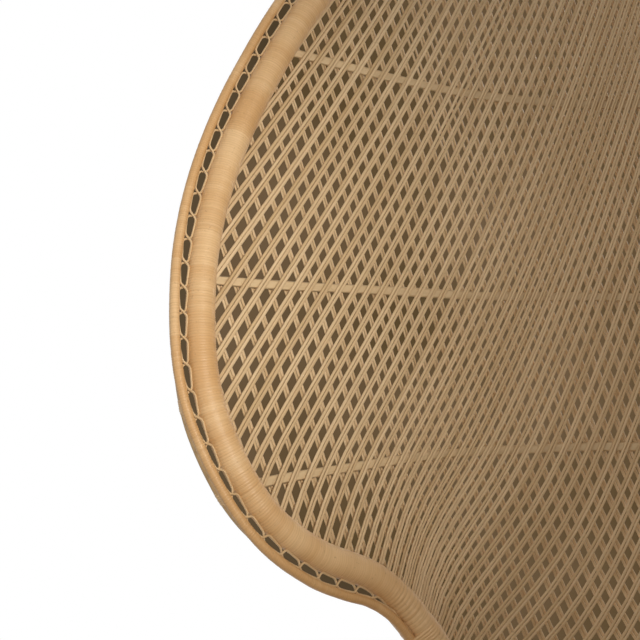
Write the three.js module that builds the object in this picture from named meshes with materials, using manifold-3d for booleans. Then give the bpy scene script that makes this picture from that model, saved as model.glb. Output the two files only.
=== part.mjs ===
// Peacock chair of rattan: a woven fan back that runs down into a bucket with low arms, a round
// seat and an hourglass base. Millimetres, +Z up. The sitter looks along -Y. The origin is on the
// floor, below the middle of the chair's outer box.

import * as THREE from 'three';
import Module from 'manifold-3d';

const wasm = await Module();
wasm.setup();

// Gap between pieces that touch on the real chair
const CLEARANCE = 0.3;

// Seat: a wrapped ring, a woven mat that lies in it and the bars below the mat
const SEAT_RING_Z = 370;
const SEAT_RING_RADIUS = 235;
const SEAT_RING_TUBE = 16;
const SEAT_BAR_RADIUS = 8;
const SEAT_BAR_COUNT = 3;
const SEAT_BAR_SPACING = 120;
const SEAT_BAR_SIDES = 8;
const SEAT_MAT_EDGE = 9;
const SEAT_MAT_CROWN = 6;
const SEAT_MAT_SHOULDER_RADIUS = 130;
const SEAT_MAT_SHOULDER_RISE = 4.2;

// Base: a wrapped ring on the floor, an outer waist ring, posts inside and two layers of strips
const FLOOR_RING_RADIUS = 228;
const FLOOR_RING_TUBE = 17;
const BASE_TWIST = THREE.MathUtils.degToRad(94);
const BASE_STRIP_COUNT = 32;
const BASE_STRIP_SPANS = 2;
const BASE_GROUPS = 4;
const BASE_LAYER_OFFSET = 3.6;
const WAIST_RING_TUBE = 9;
const WAIST_RING_SIDES = 6;
const POST_COUNT = 6;
const POST_RADIUS = 8;
const POST_START_ANGLE = THREE.MathUtils.degToRad(15);
const POST_SPANS = 4;
const POST_SIDES = 6;

// Back and bucket: the middle surface of the weave
const SHELL_TOP_RADIUS = 340;
const BACK_LEAN = 0.165;
const WING_Z = 900;

// Edge of the weave, seen from the front: an ellipse above, a shaped run down to the neck
const FAN_TOP_Z = 1515;
const FAN_WIDE_Z = 965;
const FAN_HALF_WIDTH = 424;
const NECK_Z = 555;
const NECK_HALF_WIDTH = 190;
const FAN_ARC_POINTS = 4;
const LOWER_EDGE_SHAPE = [
  [0.889, 0.654],
  [0.7, 0.444],
  [0.538, 0.349],
  [0.316, 0.271],
  [0.158, 0.168],
];

// Arm edge: shares of the way from the neck to the front, and of the arm's height over the seat
const ARM_Z = 520;
const ARM_FRONT_ANGLE = 2.3;
const ARM_SHAPE = [
  [0.05, 1.08],
  [0.2, 1.0],
  [0.5, 1.03],
  [0.76, 0.88],
  [0.93, 0.5],
  [1.0, 0.14],
  [1.0, 0.0],
];

// Weave of the back, bucket and arms
const STRIP_WIDTH = 8.3;
const STRIP_THICKNESS = 1.6;
const STRIP_SPAN = 95;
const ARM_STRIP_SPAN = 60;
const STRIP_SHORTEST = 60;
const FAN_GROUPS = 4;
const ARM_GROUPS = 2;
const MITRE_LIMIT = 2;
const LAYER_OFFSET = 3;
const STRIP_BOW = 0.65;
const LATH_WIDTH = 7;
const LATH_THICKNESS = 1;
const LATH_PAD = 6;

// Strip lines, by the share of the way from the fan's widest level to its top: how many strips lie
// in one radian of plan angle, and by how many strips a line has moved over. The solids are every
// third strip of the real weave.
const STRIPS_PER_RADIAN = 23;
const STRIPS_PER_RADIAN_GAIN = 10.7;
const STRIPS_PER_RADIAN_CURVE = 4.2;
const STRIP_SHIFT = 15.3;
const STRIP_SHIFT_CURVE = 1.1;
const STRIP_EVERY = 3;

// Cross bands between the two layers: height at the middle and rise at the edge per squared radian
const BAND_WIDTH = 12;
const BAND_SPAN = 42;
const BANDS = [
  ['fan_band_upper', 1193, 40],
  ['fan_band_middle', 966, 6],
  ['fan_band_lower', 797, -13],
];

// Edge: wrapped roll in front of the weave, hoop behind it, lace outside
const ROLL_RADIUS = 15.5;
const HOOP_RADIUS = 7;
const LACE_GAP = 10;
const LACE_ROD_RADIUS = 5;
const LACE_CANE_RADIUS = 1.5;
const LACE_PITCH = 24;
const LACE_MITRE = 2;
const LACE_NECK_STEPS = 2;
const FAN_EDGE_STEPS = 3;
const ARM_EDGE_STEPS = 2;
const EDGE_BOW = 1.15;
const EDGE_PROBE_STEPS = 0.2;
const ROLL_SIDES = 8;
const HOOP_SIDES = 5;
const LACE_ROD_SIDES = 4;
const LACE_CANE_SIDES = 3;

// Facets of the three wrapped rings
const RING_SEGMENTS = 30;
const RING_SIDES = 8;

// Halvings that find where a line meets a border
const HALVINGS = 40;

const PEEL = { color: 0xc08f55, roughness: 0.55, metalness: 0 };
const STRIP = { color: 0xc8a878, roughness: 0.65, metalness: 0 };
const POLE = { color: 0xb98f5c, roughness: 0.6, metalness: 0 };

const chair = new THREE.Group();

function addPiece(name, geometry, look) {
  geometry.computeVertexNormals();
  const mesh = new THREE.Mesh(geometry, new THREE.MeshStandardMaterial(look));
  mesh.name = name;
  chair.add(mesh);
  return mesh;
}

// Solid helpers

function signedVolume(vertices, triangles) {
  let sum = 0;
  for (let i = 0; i < triangles.length; i += 3) {
    const [a, b, c] = [0, 1, 2].map((j) => vertices[triangles[i + j]]);
    sum += a.dot(new THREE.Vector3().crossVectors(b, c)) / 6;
  }
  return sum;
}

function closedGeometry(vertices, triangles) {
  if (signedVolume(vertices, triangles) < 0) {
    triangles = triangles.slice().reverse();
  }
  const geometry = new THREE.BufferGeometry().setFromPoints(vertices);
  geometry.setIndex(triangles);
  return geometry;
}

// Skin over a row of equal convex sections, with flat ends. Opposite faces are halved along parallel
// diagonals, so that a twisted strip keeps its thickness.
function loft(sections) {
  const count = sections[0].length;
  const last = (sections.length - 1) * count;
  const triangles = [];
  for (let i = 0; i + 1 < sections.length; i += 1) {
    for (let j = 0; j < count; j += 1) {
      const k = (j + 1) % count;
      const [a, b] = [i * count + j, i * count + k];
      if (j < count / 2) {
        triangles.push(a, b, b + count, a, b + count, a + count);
      } else {
        triangles.push(a, b, a + count, b, b + count, a + count);
      }
    }
  }
  for (let j = 1; j + 1 < count; j += 1) {
    triangles.push(0, j + 1, j, last, last + j, last + j + 1);
  }
  return closedGeometry(sections.flat(), triangles);
}

function toSolid(geometry) {
  const vertProperties = new Float32Array(geometry.attributes.position.array);
  const triVerts = new Uint32Array(geometry.index.array);
  return new wasm.Manifold(new wasm.Mesh({ numProp: 3, vertProperties, triVerts }));
}

function joined(geometries) {
  const solid = geometries.map(toSolid).reduce((whole, piece) => whole.add(piece));
  const { vertProperties, triVerts } = solid.getMesh();
  const geometry = new THREE.BufferGeometry();
  geometry.setAttribute('position', new THREE.BufferAttribute(vertProperties, 3));
  geometry.setIndex(new THREE.BufferAttribute(triVerts, 1));
  return geometry;
}

// Direction at each point, halved at the bends, and how much wider a strip is cut there
function bends(points) {
  const steps = points.slice(1).map((point, i) => point.clone().sub(points[i]).normalize());
  return points.map((_, i) => {
    const before = steps[Math.max(i - 1, 0)];
    const along = before.clone().add(steps[Math.min(i, steps.length - 1)]).normalize();
    return { along, mitre: Math.min(1 / along.dot(before), MITRE_LIMIT) };
  });
}

// Flat strip along points, its face turned to the given normals
function ribbon(points, normals, width, thickness) {
  const turns = bends(points);
  const sections = points.map((point, i) => {
    const { along, mitre } = turns[i];
    const across = new THREE.Vector3().crossVectors(normals[i], along).normalize();
    const up = new THREE.Vector3().crossVectors(along, across);
    const corner = (w, t) => point.clone().addScaledVector(across, w).addScaledVector(up, t);
    const [w, t] = [(mitre * width) / 2, thickness / 2];
    return [corner(-w, -t), corner(w, -t), corner(w, t), corner(-w, t)];
  });
  return loft(sections);
}

// One unbroken strip that runs to and fro over a row of strip lines
function lacedRibbon(lines, width, thickness) {
  const path = lines.flatMap((line, i) => (i % 2 ? line.slice().reverse() : line));
  return ribbon(path.map((place) => place.point), path.map((place) => place.normal), width, thickness);
}

// Round rod along places: a polygon whose flats touch the radius, one flat turned to the normal
function rod(places, radius, sides) {
  const reach = radius / Math.cos(Math.PI / sides);
  const sections = places.map(({ point, normal, along }) => {
    const across = new THREE.Vector3().crossVectors(normal, along).normalize();
    const up = new THREE.Vector3().crossVectors(along, across);
    return Array.from({ length: sides }, (_, j) => {
      const angle = ((j + 0.5) * 2 * Math.PI) / sides;
      return point.clone()
        .addScaledVector(up, reach * Math.cos(angle))
        .addScaledVector(across, reach * Math.sin(angle));
    });
  });
  return loft(sections);
}

// Places along points, with the bends halved
function bentPlaces(points, normals) {
  const turns = bends(points);
  return points.map((point, i) => ({ point, normal: normals[i], along: turns[i].along }));
}

// Ring about the Z axis with a polygon section, one flat turned down
function ring(radius, z, tube, sides) {
  const reach = tube / Math.cos(Math.PI / sides);
  const profile = Array.from({ length: sides + 1 }, (_, j) => {
    const angle = ((j % sides) + 0.5) * (2 * Math.PI / sides) - Math.PI / 2;
    return new THREE.Vector2(radius + reach * Math.cos(angle), reach * Math.sin(angle));
  });
  const geometry = new THREE.LatheGeometry(profile, RING_SEGMENTS);
  return geometry.rotateX(Math.PI / 2).translate(0, 0, z);
}

// Shell of the back and bucket, by plan angle from the rear middle and height.
// The plan is a circle at the seat and opens steadily to a parabola of the same middle radius, and on.

function shellRadius(z) {
  const share = (z - SEAT_RING_Z) / (FAN_TOP_Z - SEAT_RING_Z);
  return SEAT_RING_RADIUS + (SHELL_TOP_RADIUS - SEAT_RING_RADIUS) * share;
}

function wingShare(z) {
  return (z - SEAT_RING_Z) / (WING_Z - SEAT_RING_Z);
}

function shellWidth(angle, z) {
  const share = wingShare(z);
  return shellRadius(z) * ((1 - share) * Math.sin(angle) + share * angle);
}

function shellMiddle(angle, z) {
  const share = wingShare(z);
  const sag = (1 - share) * (1 - Math.cos(angle)) + (share * angle * angle) / 2;
  const rear = SEAT_RING_RADIUS + BACK_LEAN * (z - SEAT_RING_Z);
  return new THREE.Vector3(shellWidth(angle, z), rear - shellRadius(z) * sag, z);
}

// Unit normal towards the sitter
function shellNormal(angle, z) {
  const step = 0.001;
  const rise = 0.5;
  const sideways = shellMiddle(angle + step, z).sub(shellMiddle(angle - step, z));
  const upward = shellMiddle(angle, z + rise).sub(shellMiddle(angle, z - rise));
  return sideways.cross(upward).normalize();
}

function shellPoint(angle, z, offset) {
  return shellMiddle(angle, z).addScaledVector(shellNormal(angle, z), offset);
}

// Plan angle at which the shell is a given half width from the middle, by halving
function angleForWidth(halfWidth, z) {
  let [low, high] = [0, 2];
  for (let i = 0; i < HALVINGS; i += 1) {
    const middle = (low + high) / 2;
    if (shellWidth(middle, z) < halfWidth) {
      low = middle;
    } else {
      high = middle;
    }
  }
  return low;
}

// Edge of the weave in plan angle and height, from the left arm's front to the right arm's front

const SEAT_TOP_Z = SEAT_RING_Z + SEAT_RING_TUBE;
const ARM_FOOT_Z = SEAT_TOP_Z + CLEARANCE;

function rightEdgePoints() {
  const points = [];
  for (let i = 1; i <= FAN_ARC_POINTS; i += 1) {
    const turn = (i / FAN_ARC_POINTS) * (Math.PI / 2);
    const z = FAN_WIDE_Z + (FAN_TOP_Z - FAN_WIDE_Z) * Math.cos(turn);
    points.push([angleForWidth(FAN_HALF_WIDTH * Math.sin(turn), z), z]);
  }
  for (const [across, up] of [...LOWER_EDGE_SHAPE, [0, 0]]) {
    const halfWidth = NECK_HALF_WIDTH + across * (FAN_HALF_WIDTH - NECK_HALF_WIDTH);
    const z = NECK_Z + up * (FAN_WIDE_Z - NECK_Z);
    points.push([angleForWidth(halfWidth, z), z]);
  }
  const neckAngle = points.at(-1)[0];
  for (const [forward, up] of ARM_SHAPE) {
    const angle = neckAngle + forward * (ARM_FRONT_ANGLE - neckAngle);
    points.push([angle, ARM_FOOT_Z + up * (ARM_Z - ARM_FOOT_Z)]);
  }
  return points;
}

const rightEdge = rightEdgePoints();
const leftEdge = rightEdge.map(([angle, z]) => [-angle, z]).reverse();
const edgePoints = [...leftEdge, [0, FAN_TOP_Z], ...rightEdge];
const edgeCurve = new THREE.CatmullRomCurve3(
  edgePoints.map(([angle, z]) => new THREE.Vector3(angle * SEAT_RING_RADIUS, z, 0)));
const EDGE_SPANS = edgePoints.length - 1;
const ARM_SPANS = ARM_SHAPE.length;
const EDGE_PROBE = EDGE_PROBE_STEPS / (EDGE_SPANS * FAN_EDGE_STEPS);

function edgeAt(u) {
  const point = edgeCurve.getPoint(u);
  return [point.x / SEAT_RING_RADIUS, point.y];
}

// Grid of edge parameters between two control points
function edgeGrid(fromSpan, toSpan, steps) {
  const count = (toSpan - fromSpan) * steps;
  return Array.from({ length: count + 1 }, (_, i) => (fromSpan + i / steps) / EDGE_SPANS);
}

// Point beside the edge: towards the sitter by offset, and out of the fan by outward
function besideEdge(u, offset, outward) {
  const [angle, z] = edgeAt(u);
  const normal = shellNormal(angle, z);
  const before = edgeAt(Math.max(u - EDGE_PROBE, 0));
  const after = edgeAt(Math.min(u + EDGE_PROBE, 1));
  const along = shellMiddle(...after).sub(shellMiddle(...before)).normalize();
  const out = new THREE.Vector3().crossVectors(normal, along).normalize();
  const point = shellMiddle(angle, z).addScaledVector(normal, offset).addScaledVector(out, outward);
  return { point, normal };
}

// The same with the direction in which the offset edge runs there
function edgeFrame(u, offset, outward) {
  const before = besideEdge(Math.max(u - EDGE_PROBE, 0), offset, outward).point;
  const after = besideEdge(Math.min(u + EDGE_PROBE, 1), offset, outward).point;
  return { ...besideEdge(u, offset, outward), along: after.sub(before).normalize() };
}

function edgeRod(grid, offset, outward, radius, sides) {
  return rod(grid.map((u) => edgeFrame(u, offset, outward)), radius, sides);
}

// Roll, hoop and lace along the fan and both arms

const WEAVE_FACE = LAYER_OFFSET + STRIP_THICKNESS / 2;
const ROLL_OFFSET = WEAVE_FACE + STRIP_BOW + CLEARANCE + ROLL_RADIUS;
const HOOP_OFFSET = -(WEAVE_FACE + EDGE_BOW + CLEARANCE + HOOP_RADIUS);
const LACE_ROD_OUT = ROLL_RADIUS + LACE_GAP + LACE_ROD_RADIUS;

// Cane laid to and fro between roll and lace rod, along the straights of their grid
function laceLoops(grid) {
  const reach = CLEARANCE + LACE_MITRE * LACE_CANE_RADIUS;
  const near = grid.map((u) => besideEdge(u, ROLL_OFFSET, ROLL_RADIUS + reach));
  const far = grid.map((u) => besideEdge(u, ROLL_OFFSET, ROLL_RADIUS + LACE_GAP - reach));
  const lengths = [0];
  for (let i = 1; i < far.length; i += 1) {
    lengths.push(lengths[i - 1] + far[i].point.distanceTo(far[i - 1].point));
  }
  const turns = Math.round((2 * lengths.at(-1)) / LACE_PITCH);
  const places = [];
  let span = 1;
  for (let i = 0; i < turns; i += 1) {
    const target = (lengths.at(-1) * (i + 0.5)) / turns;
    while (lengths[span] < target) {
      span += 1;
    }
    const share = (target - lengths[span - 1]) / (lengths[span] - lengths[span - 1]);
    const row = i % 2 ? far : near;
    places.push({
      point: row[span - 1].point.clone().lerp(row[span].point, share),
      normal: row[span - 1].normal.clone().lerp(row[span].normal, share).normalize(),
    });
  }
  return rod(bentPlaces(places.map((p) => p.point), places.map((p) => p.normal)),
    LACE_CANE_RADIUS, LACE_CANE_SIDES);
}

const NECK_SPANS = [ARM_SPANS, EDGE_SPANS - ARM_SPANS];
const EDGE_PARTS = [
  ['arm', '_left', 0, NECK_SPANS[0], ARM_EDGE_STEPS],
  ['fan', '', NECK_SPANS[0], NECK_SPANS[1], FAN_EDGE_STEPS],
  ['arm', '_right', NECK_SPANS[1], EDGE_SPANS, ARM_EDGE_STEPS],
];

// Ends of neighbouring rods stand apart by the clearance
function shortened(grid) {
  const [first, last] = [edgeFrame(grid[0], 0, 0).point, edgeFrame(grid.at(-1), 0, 0).point];
  const second = edgeFrame(grid[1], 0, 0).point;
  const beforeLast = edgeFrame(grid.at(-2), 0, 0).point;
  const inner = grid.slice(1, -1);
  const start = grid[0] + ((grid[1] - grid[0]) * CLEARANCE) / first.distanceTo(second);
  const end = grid.at(-1) - ((grid.at(-1) - grid.at(-2)) * CLEARANCE) / last.distanceTo(beforeLast);
  return [start, ...inner, end];
}

// The lace ends a little before the narrow bend of a neck
function laceGrid(grid, from, to) {
  const start = from === 0 ? 0 : LACE_NECK_STEPS;
  const end = to === EDGE_SPANS ? 0 : LACE_NECK_STEPS;
  return grid.slice(start, grid.length - end);
}

for (const [part, side, from, to, steps] of EDGE_PARTS) {
  const grid = shortened(edgeGrid(from, to, steps));
  const lace = laceGrid(grid, from, to);
  addPiece(`${part}_roll${side}`, edgeRod(grid, ROLL_OFFSET, 0, ROLL_RADIUS, ROLL_SIDES), PEEL);
  addPiece(`${part}_hoop${side}`, edgeRod(grid, HOOP_OFFSET, 0, HOOP_RADIUS, HOOP_SIDES), POLE);
  addPiece(`${part}_lace_rod${side}`,
    edgeRod(lace, ROLL_OFFSET, LACE_ROD_OUT, LACE_ROD_RADIUS, LACE_ROD_SIDES), PEEL);
  addPiece(`${part}_lace_loops${side}`, laceLoops(lace), STRIP);
}

// Weave: strips that lean to one side as they rise, less and less, cut at the edge

const EDGE_SAMPLES = 800;
const STRIP_SEARCH_STEP = 4;
const edgeSamples = Array.from({ length: EDGE_SAMPLES + 1 }, (_, i) => edgeAt(i / EDGE_SAMPLES));
const STRIP_FOOT_Z = SEAT_TOP_Z + CLEARANCE;

function insideEdge(angle, z) {
  let inside = false;
  for (let i = 0, j = edgeSamples.length - 1; i < edgeSamples.length; j = i, i += 1) {
    const [a, b] = [edgeSamples[i], edgeSamples[j]];
    if ((a[1] > z) !== (b[1] > z) && angle < ((b[0] - a[0]) * (z - a[1])) / (b[1] - a[1]) + a[0]) {
      inside = !inside;
    }
  }
  return inside;
}

// Strips in one radian at a height, and the strips that a line has moved over by then
function stripCounts(z) {
  const share = (z - FAN_WIDE_Z) / (FAN_TOP_Z - FAN_WIDE_Z);
  const perRadian = STRIPS_PER_RADIAN + STRIPS_PER_RADIAN_GAIN * share
    + STRIPS_PER_RADIAN_CURVE * share ** 2;
  return { perRadian, shift: STRIP_SHIFT * share + STRIP_SHIFT_CURVE * share ** 3 };
}

// Plan angle of a strip of the front layer at a height
function stripAngle(number, z) {
  const { perRadian, shift } = stripCounts(z);
  return (number + shift) / perRadian;
}

// Number of the front strip that passes through a place
function stripNumber(angle, z) {
  const { perRadian, shift } = stripCounts(z);
  return angle * perRadian - shift;
}

// Heights between which a strip line lies inside the edge
function stripStretches(line) {
  const stretches = [];
  let start = null;
  const isIn = (z) => insideEdge(line(z), z);
  const crossing = (outside, inside) => {
    let [a, b] = [outside, inside];
    for (let i = 0; i < HALVINGS; i += 1) {
      const middle = (a + b) / 2;
      if (isIn(middle)) {
        b = middle;
      } else {
        a = middle;
      }
    }
    return b;
  };
  for (let z = STRIP_FOOT_Z; z < FAN_TOP_Z + STRIP_SEARCH_STEP; z += STRIP_SEARCH_STEP) {
    if (isIn(z) && start === null) {
      start = crossing(z - STRIP_SEARCH_STEP, z);
    } else if (!isIn(z) && start !== null) {
      stretches.push([start, crossing(z, z - STRIP_SEARCH_STEP)]);
      start = null;
    }
  }
  return stretches;
}

function shellPlace(angle, z, layer) {
  return {
    angle, z, point: shellPoint(angle, z, layer * LAYER_OFFSET), normal: shellNormal(angle, z),
  };
}

// How far the corners of a strip's square foot reach below its middle line
function footDrop(line, layer) {
  const foot = shellPlace(line(SEAT_TOP_Z), SEAT_TOP_Z, layer);
  const above = SEAT_TOP_Z + STRIP_WIDTH;
  const along = shellPlace(line(above), above, layer).point.sub(foot.point).normalize();
  const across = new THREE.Vector3().crossVectors(foot.normal, along).normalize();
  const up = new THREE.Vector3().crossVectors(along, across);
  return (Math.abs(across.z) * STRIP_WIDTH + Math.abs(up.z) * STRIP_THICKNESS) / 2;
}

// Height at which a strip of the layer starts, so that its foot clears the seat ring
function footHeight(line, layer, rise) {
  let [low, high] = [STRIP_FOOT_Z - STRIP_WIDTH, STRIP_FOOT_Z + 2 * STRIP_WIDTH];
  for (let i = 0; i < HALVINGS; i += 1) {
    const middle = (low + high) / 2;
    if (shellPoint(line(middle), middle, layer * LAYER_OFFSET).z < STRIP_FOOT_Z + rise) {
      low = middle;
    } else {
      high = middle;
    }
  }
  return high;
}

// Points and normals along one strip, and its length from end to end.
// A fan strip ends on the seat ring, an arm strip turns there with its edge along the ring.
function stripPlaces(line, [start, high], layer) {
  const isFan = high > NECK_Z;
  const footRise = isFan ? footDrop(line, layer) : STRIP_WIDTH / 2;
  const atSeat = start < STRIP_FOOT_Z + STRIP_SEARCH_STEP;
  const low = atSeat ? footHeight(line, layer, footRise) : start;
  const length = shellMiddle(line(low), low).distanceTo(shellMiddle(line(high), high));
  const spans = Math.ceil(length / (isFan ? STRIP_SPAN : ARM_STRIP_SPAN));
  const places = Array.from({ length: spans + 1 }, (_, i) => {
    const z = low + ((high - low) * i) / spans;
    return shellPlace(line(z), z, layer);
  });
  return { places, length };
}

function nearestEdge(angle, z) {
  let best = 0;
  let least = Infinity;
  edgeSamples.forEach(([a, h], i) => {
    const distance = Math.hypot((a - angle) * shellRadius(z), h - z);
    if (distance < least) {
      [best, least] = [i, distance];
    }
  });
  return best / EDGE_SAMPLES;
}

// Lath under the roll that the upper ends of a group of strips are fixed to
function edgeLath(fromU, toU, layer) {
  const inner = edgeGrid(0, EDGE_SPANS, FAN_EDGE_STEPS).filter((u) => u > fromU && u < toU);
  const frames = [fromU, ...inner, toU].map((u) => edgeFrame(u, layer * LAYER_OFFSET, 0));
  const points = frames.map((f) => f.point);
  const pad = (end, next) => end.addScaledVector(end.clone().sub(next).normalize(), LATH_PAD);
  pad(points[0], points[1]);
  pad(points.at(-1), points.at(-2));
  return ribbon(points, frames.map((f) => f.normal), LATH_WIDTH, LATH_THICKNESS);
}

// All strips of one layer, sorted by where their upper ends meet the edge
function layerStrips(layer) {
  const strips = [];
  const numbers = edgeSamples.map(([angle, z]) => Math.abs(stripNumber(angle, z)));
  const count = Math.ceil(Math.max(...numbers) / STRIP_EVERY);
  for (let k = -count; k < count; k += 1) {
    const line = (z) => layer * stripAngle((k + 0.5) * STRIP_EVERY, z);
    for (const stretch of stripStretches(line)) {
      const { places, length } = stripPlaces(line, stretch, layer);
      if (length > STRIP_SHORTEST) {
        strips.push({ places, u: nearestEdge(line(stretch[1]), stretch[1]) });
      }
    }
  }
  return strips.sort((a, b) => a.u - b.u);
}

// Fan strips of a group with the lath that carries them
function fanGroup(strips, layer) {
  const straight = strips.map(({ places }) => lacedRibbon([places], STRIP_WIDTH, STRIP_THICKNESS));
  return joined([edgeLath(strips[0].u, strips.at(-1).u, layer), ...straight]);
}

// Arm strips of a group are one cane, turned at the arm's edge and at the seat
function armGroup(strips, layer) {
  const lines = strips.map(({ places }, i) => (i % 2 ? places.slice().reverse() : places));
  const path = lines.flatMap((line, i) => {
    if (i + 1 === lines.length) {
      return line;
    }
    const [here, next] = [line.at(-1), lines[i + 1][0]];
    return [...line, shellPlace((here.angle + next.angle) / 2, (here.z + next.z) / 2, layer)];
  });
  return lacedRibbon([path], STRIP_WIDTH, STRIP_THICKNESS);
}

function addWeave(layer, layerName) {
  const strips = layerStrips(layer);
  for (const [part, side, from, to] of EDGE_PARTS) {
    const own = strips.filter(({ u }) => u >= from / EDGE_SPANS && u < to / EDGE_SPANS);
    const groups = part === 'fan' ? FAN_GROUPS : ARM_GROUPS;
    for (let g = 0; g < groups; g += 1) {
      const group = own.slice(Math.round((g * own.length) / groups),
        Math.round(((g + 1) * own.length) / groups));
      const geometry = part === 'fan' ? fanGroup(group, layer) : armGroup(group, layer);
      addPiece(`${part}_weave_${layerName}${side}_${g + 1}`, geometry, STRIP);
    }
  }
}

addWeave(1, 'front');
addWeave(-1, 'rear');

// Cross bands from edge to edge, between the layers

function addBand(name, height, rise) {
  const level = (angle) => height + rise * angle * angle;
  let [low, high] = [0, Math.PI];
  for (let i = 0; i < HALVINGS; i += 1) {
    const middle = (low + high) / 2;
    if (insideEdge(middle, level(middle))) {
      low = middle;
    } else {
      high = middle;
    }
  }
  const spans = Math.ceil((2 * low * shellRadius(height)) / BAND_SPAN);
  const angles = Array.from({ length: spans + 1 }, (_, i) => low * ((2 * i) / spans - 1));
  const points = angles.map((angle) => shellMiddle(angle, level(angle)));
  const normals = angles.map((angle) => shellNormal(angle, level(angle)));
  addPiece(name, ribbon(points, normals, BAND_WIDTH, STRIP_THICKNESS), STRIP);
}

for (const [name, height, rise] of BANDS) {
  addBand(name, height, rise);
}

// Seat

addPiece('seat_ring', ring(SEAT_RING_RADIUS, SEAT_RING_Z, SEAT_RING_TUBE, RING_SIDES), PEEL);

const SEAT_INNER_RADIUS = SEAT_RING_RADIUS - SEAT_RING_TUBE - CLEARANCE;
const SEAT_MAT_Z = SEAT_RING_Z + SEAT_BAR_RADIUS / 2;

for (let i = 0; i < SEAT_BAR_COUNT; i += 1) {
  const x = (i - (SEAT_BAR_COUNT - 1) / 2) * SEAT_BAR_SPACING;
  const reach = SEAT_INNER_RADIUS * Math.cos(Math.PI / RING_SEGMENTS);
  const half = Math.sqrt(reach ** 2 - (Math.abs(x) + SEAT_BAR_RADIUS) ** 2);
  const bar = new THREE.CylinderGeometry(SEAT_BAR_RADIUS, SEAT_BAR_RADIUS, 2 * half, SEAT_BAR_SIDES);
  bar.rotateY(Math.PI / SEAT_BAR_SIDES);
  addPiece(`seat_bar_${i + 1}`, bar.translate(x, 0, SEAT_MAT_Z - CLEARANCE - SEAT_BAR_RADIUS), POLE);
}

function seatMat() {
  const radius = SEAT_INNER_RADIUS * Math.cos(Math.PI / RING_SEGMENTS);
  const profile = [
    new THREE.Vector2(0, SEAT_MAT_Z),
    new THREE.Vector2(radius, SEAT_MAT_Z),
    new THREE.Vector2(radius, SEAT_MAT_Z + SEAT_MAT_EDGE),
    new THREE.Vector2(SEAT_MAT_SHOULDER_RADIUS, SEAT_MAT_Z + SEAT_MAT_EDGE + SEAT_MAT_SHOULDER_RISE),
    new THREE.Vector2(0, SEAT_MAT_Z + SEAT_MAT_EDGE + SEAT_MAT_CROWN),
  ];
  return new THREE.LatheGeometry(profile, RING_SEGMENTS).rotateX(Math.PI / 2);
}

addPiece('seat_mat', seatMat(), STRIP);

// Base

const BASE_FOOT_Z = 2 * FLOOR_RING_TUBE + CLEARANCE;
const BASE_HEAD_Z = SEAT_RING_Z - SEAT_RING_TUBE - CLEARANCE;

// Place on a straight strip line of the base, by share of its length, in the given layer
function baseLine(start, turn, offset) {
  const polar = (radius, angle, z) =>
    new THREE.Vector3(radius * Math.cos(angle), radius * Math.sin(angle), z);
  const foot = polar(FLOOR_RING_RADIUS + offset, start, BASE_FOOT_Z);
  const head = polar(SEAT_RING_RADIUS + offset, start + turn, BASE_HEAD_Z);
  return (share) => foot.clone().lerp(head, share);
}

// Outward normal of the hourglass at a place on a strip line
function baseNormal(point, direction) {
  const around = new THREE.Vector3(-point.y, point.x, 0).normalize();
  const mirrored = direction.clone().addScaledVector(around, -2 * direction.dot(around));
  const normal = new THREE.Vector3().crossVectors(direction, mirrored).normalize();
  return normal.dot(new THREE.Vector3(point.x, point.y, 0)) < 0 ? normal.negate() : normal;
}

function basePlaces(start, turn, offset) {
  const line = baseLine(start, turn, offset);
  const direction = line(1).sub(line(0)).normalize();
  const end = STRIP_WIDTH / 2 / (BASE_HEAD_Z - BASE_FOOT_Z);
  return Array.from({ length: BASE_STRIP_SPANS + 1 }, (_, i) => {
    const point = line(THREE.MathUtils.lerp(end, 1 - end, i / BASE_STRIP_SPANS));
    return { point, normal: baseNormal(point, direction) };
  });
}

// Each group of base strips is one cane, turned below the seat ring and above the floor ring
function addBaseWeave(turn, offset, layerName) {
  const step = (2 * Math.PI) / BASE_STRIP_COUNT;
  const perGroup = BASE_STRIP_COUNT / BASE_GROUPS;
  for (let g = 0; g < BASE_GROUPS; g += 1) {
    const lines = Array.from({ length: perGroup }, (_, i) =>
      basePlaces((g * perGroup + i) * step, turn, offset));
    addPiece(`base_weave_${layerName}_${g + 1}`,
      lacedRibbon(lines, STRIP_WIDTH, STRIP_THICKNESS), STRIP);
  }
}

addBaseWeave(BASE_TWIST, BASE_LAYER_OFFSET, 'outer');
addBaseWeave(-BASE_TWIST, -BASE_LAYER_OFFSET, 'inner');

addPiece('floor_ring', ring(FLOOR_RING_RADIUS, FLOOR_RING_TUBE, FLOOR_RING_TUBE, RING_SIDES), PEEL);

// Radius of the hourglass by share of its height
function baseRadius(share) {
  const point = baseLine(0, BASE_TWIST, 0)(share);
  return Math.hypot(point.x, point.y);
}

const WAIST_Z = (BASE_FOOT_Z + BASE_HEAD_Z) / 2;
const WAIST_FACE = baseRadius(0.5) + BASE_LAYER_OFFSET + STRIP_THICKNESS + CLEARANCE;
const WAIST_RADIUS = WAIST_FACE / Math.cos(Math.PI / RING_SEGMENTS) + WAIST_RING_TUBE;
addPiece('waist_ring', ring(WAIST_RADIUS, WAIST_Z, WAIST_RING_TUBE, WAIST_RING_SIDES), PEEL);

// Posts follow the hourglass inside the weave, with their ends against the inner faces of both rings

function postSeat(ringRadius, tube) {
  return (ringRadius - tube) * Math.cos(Math.PI / RING_SEGMENTS) - CLEARANCE - POST_RADIUS;
}

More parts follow.
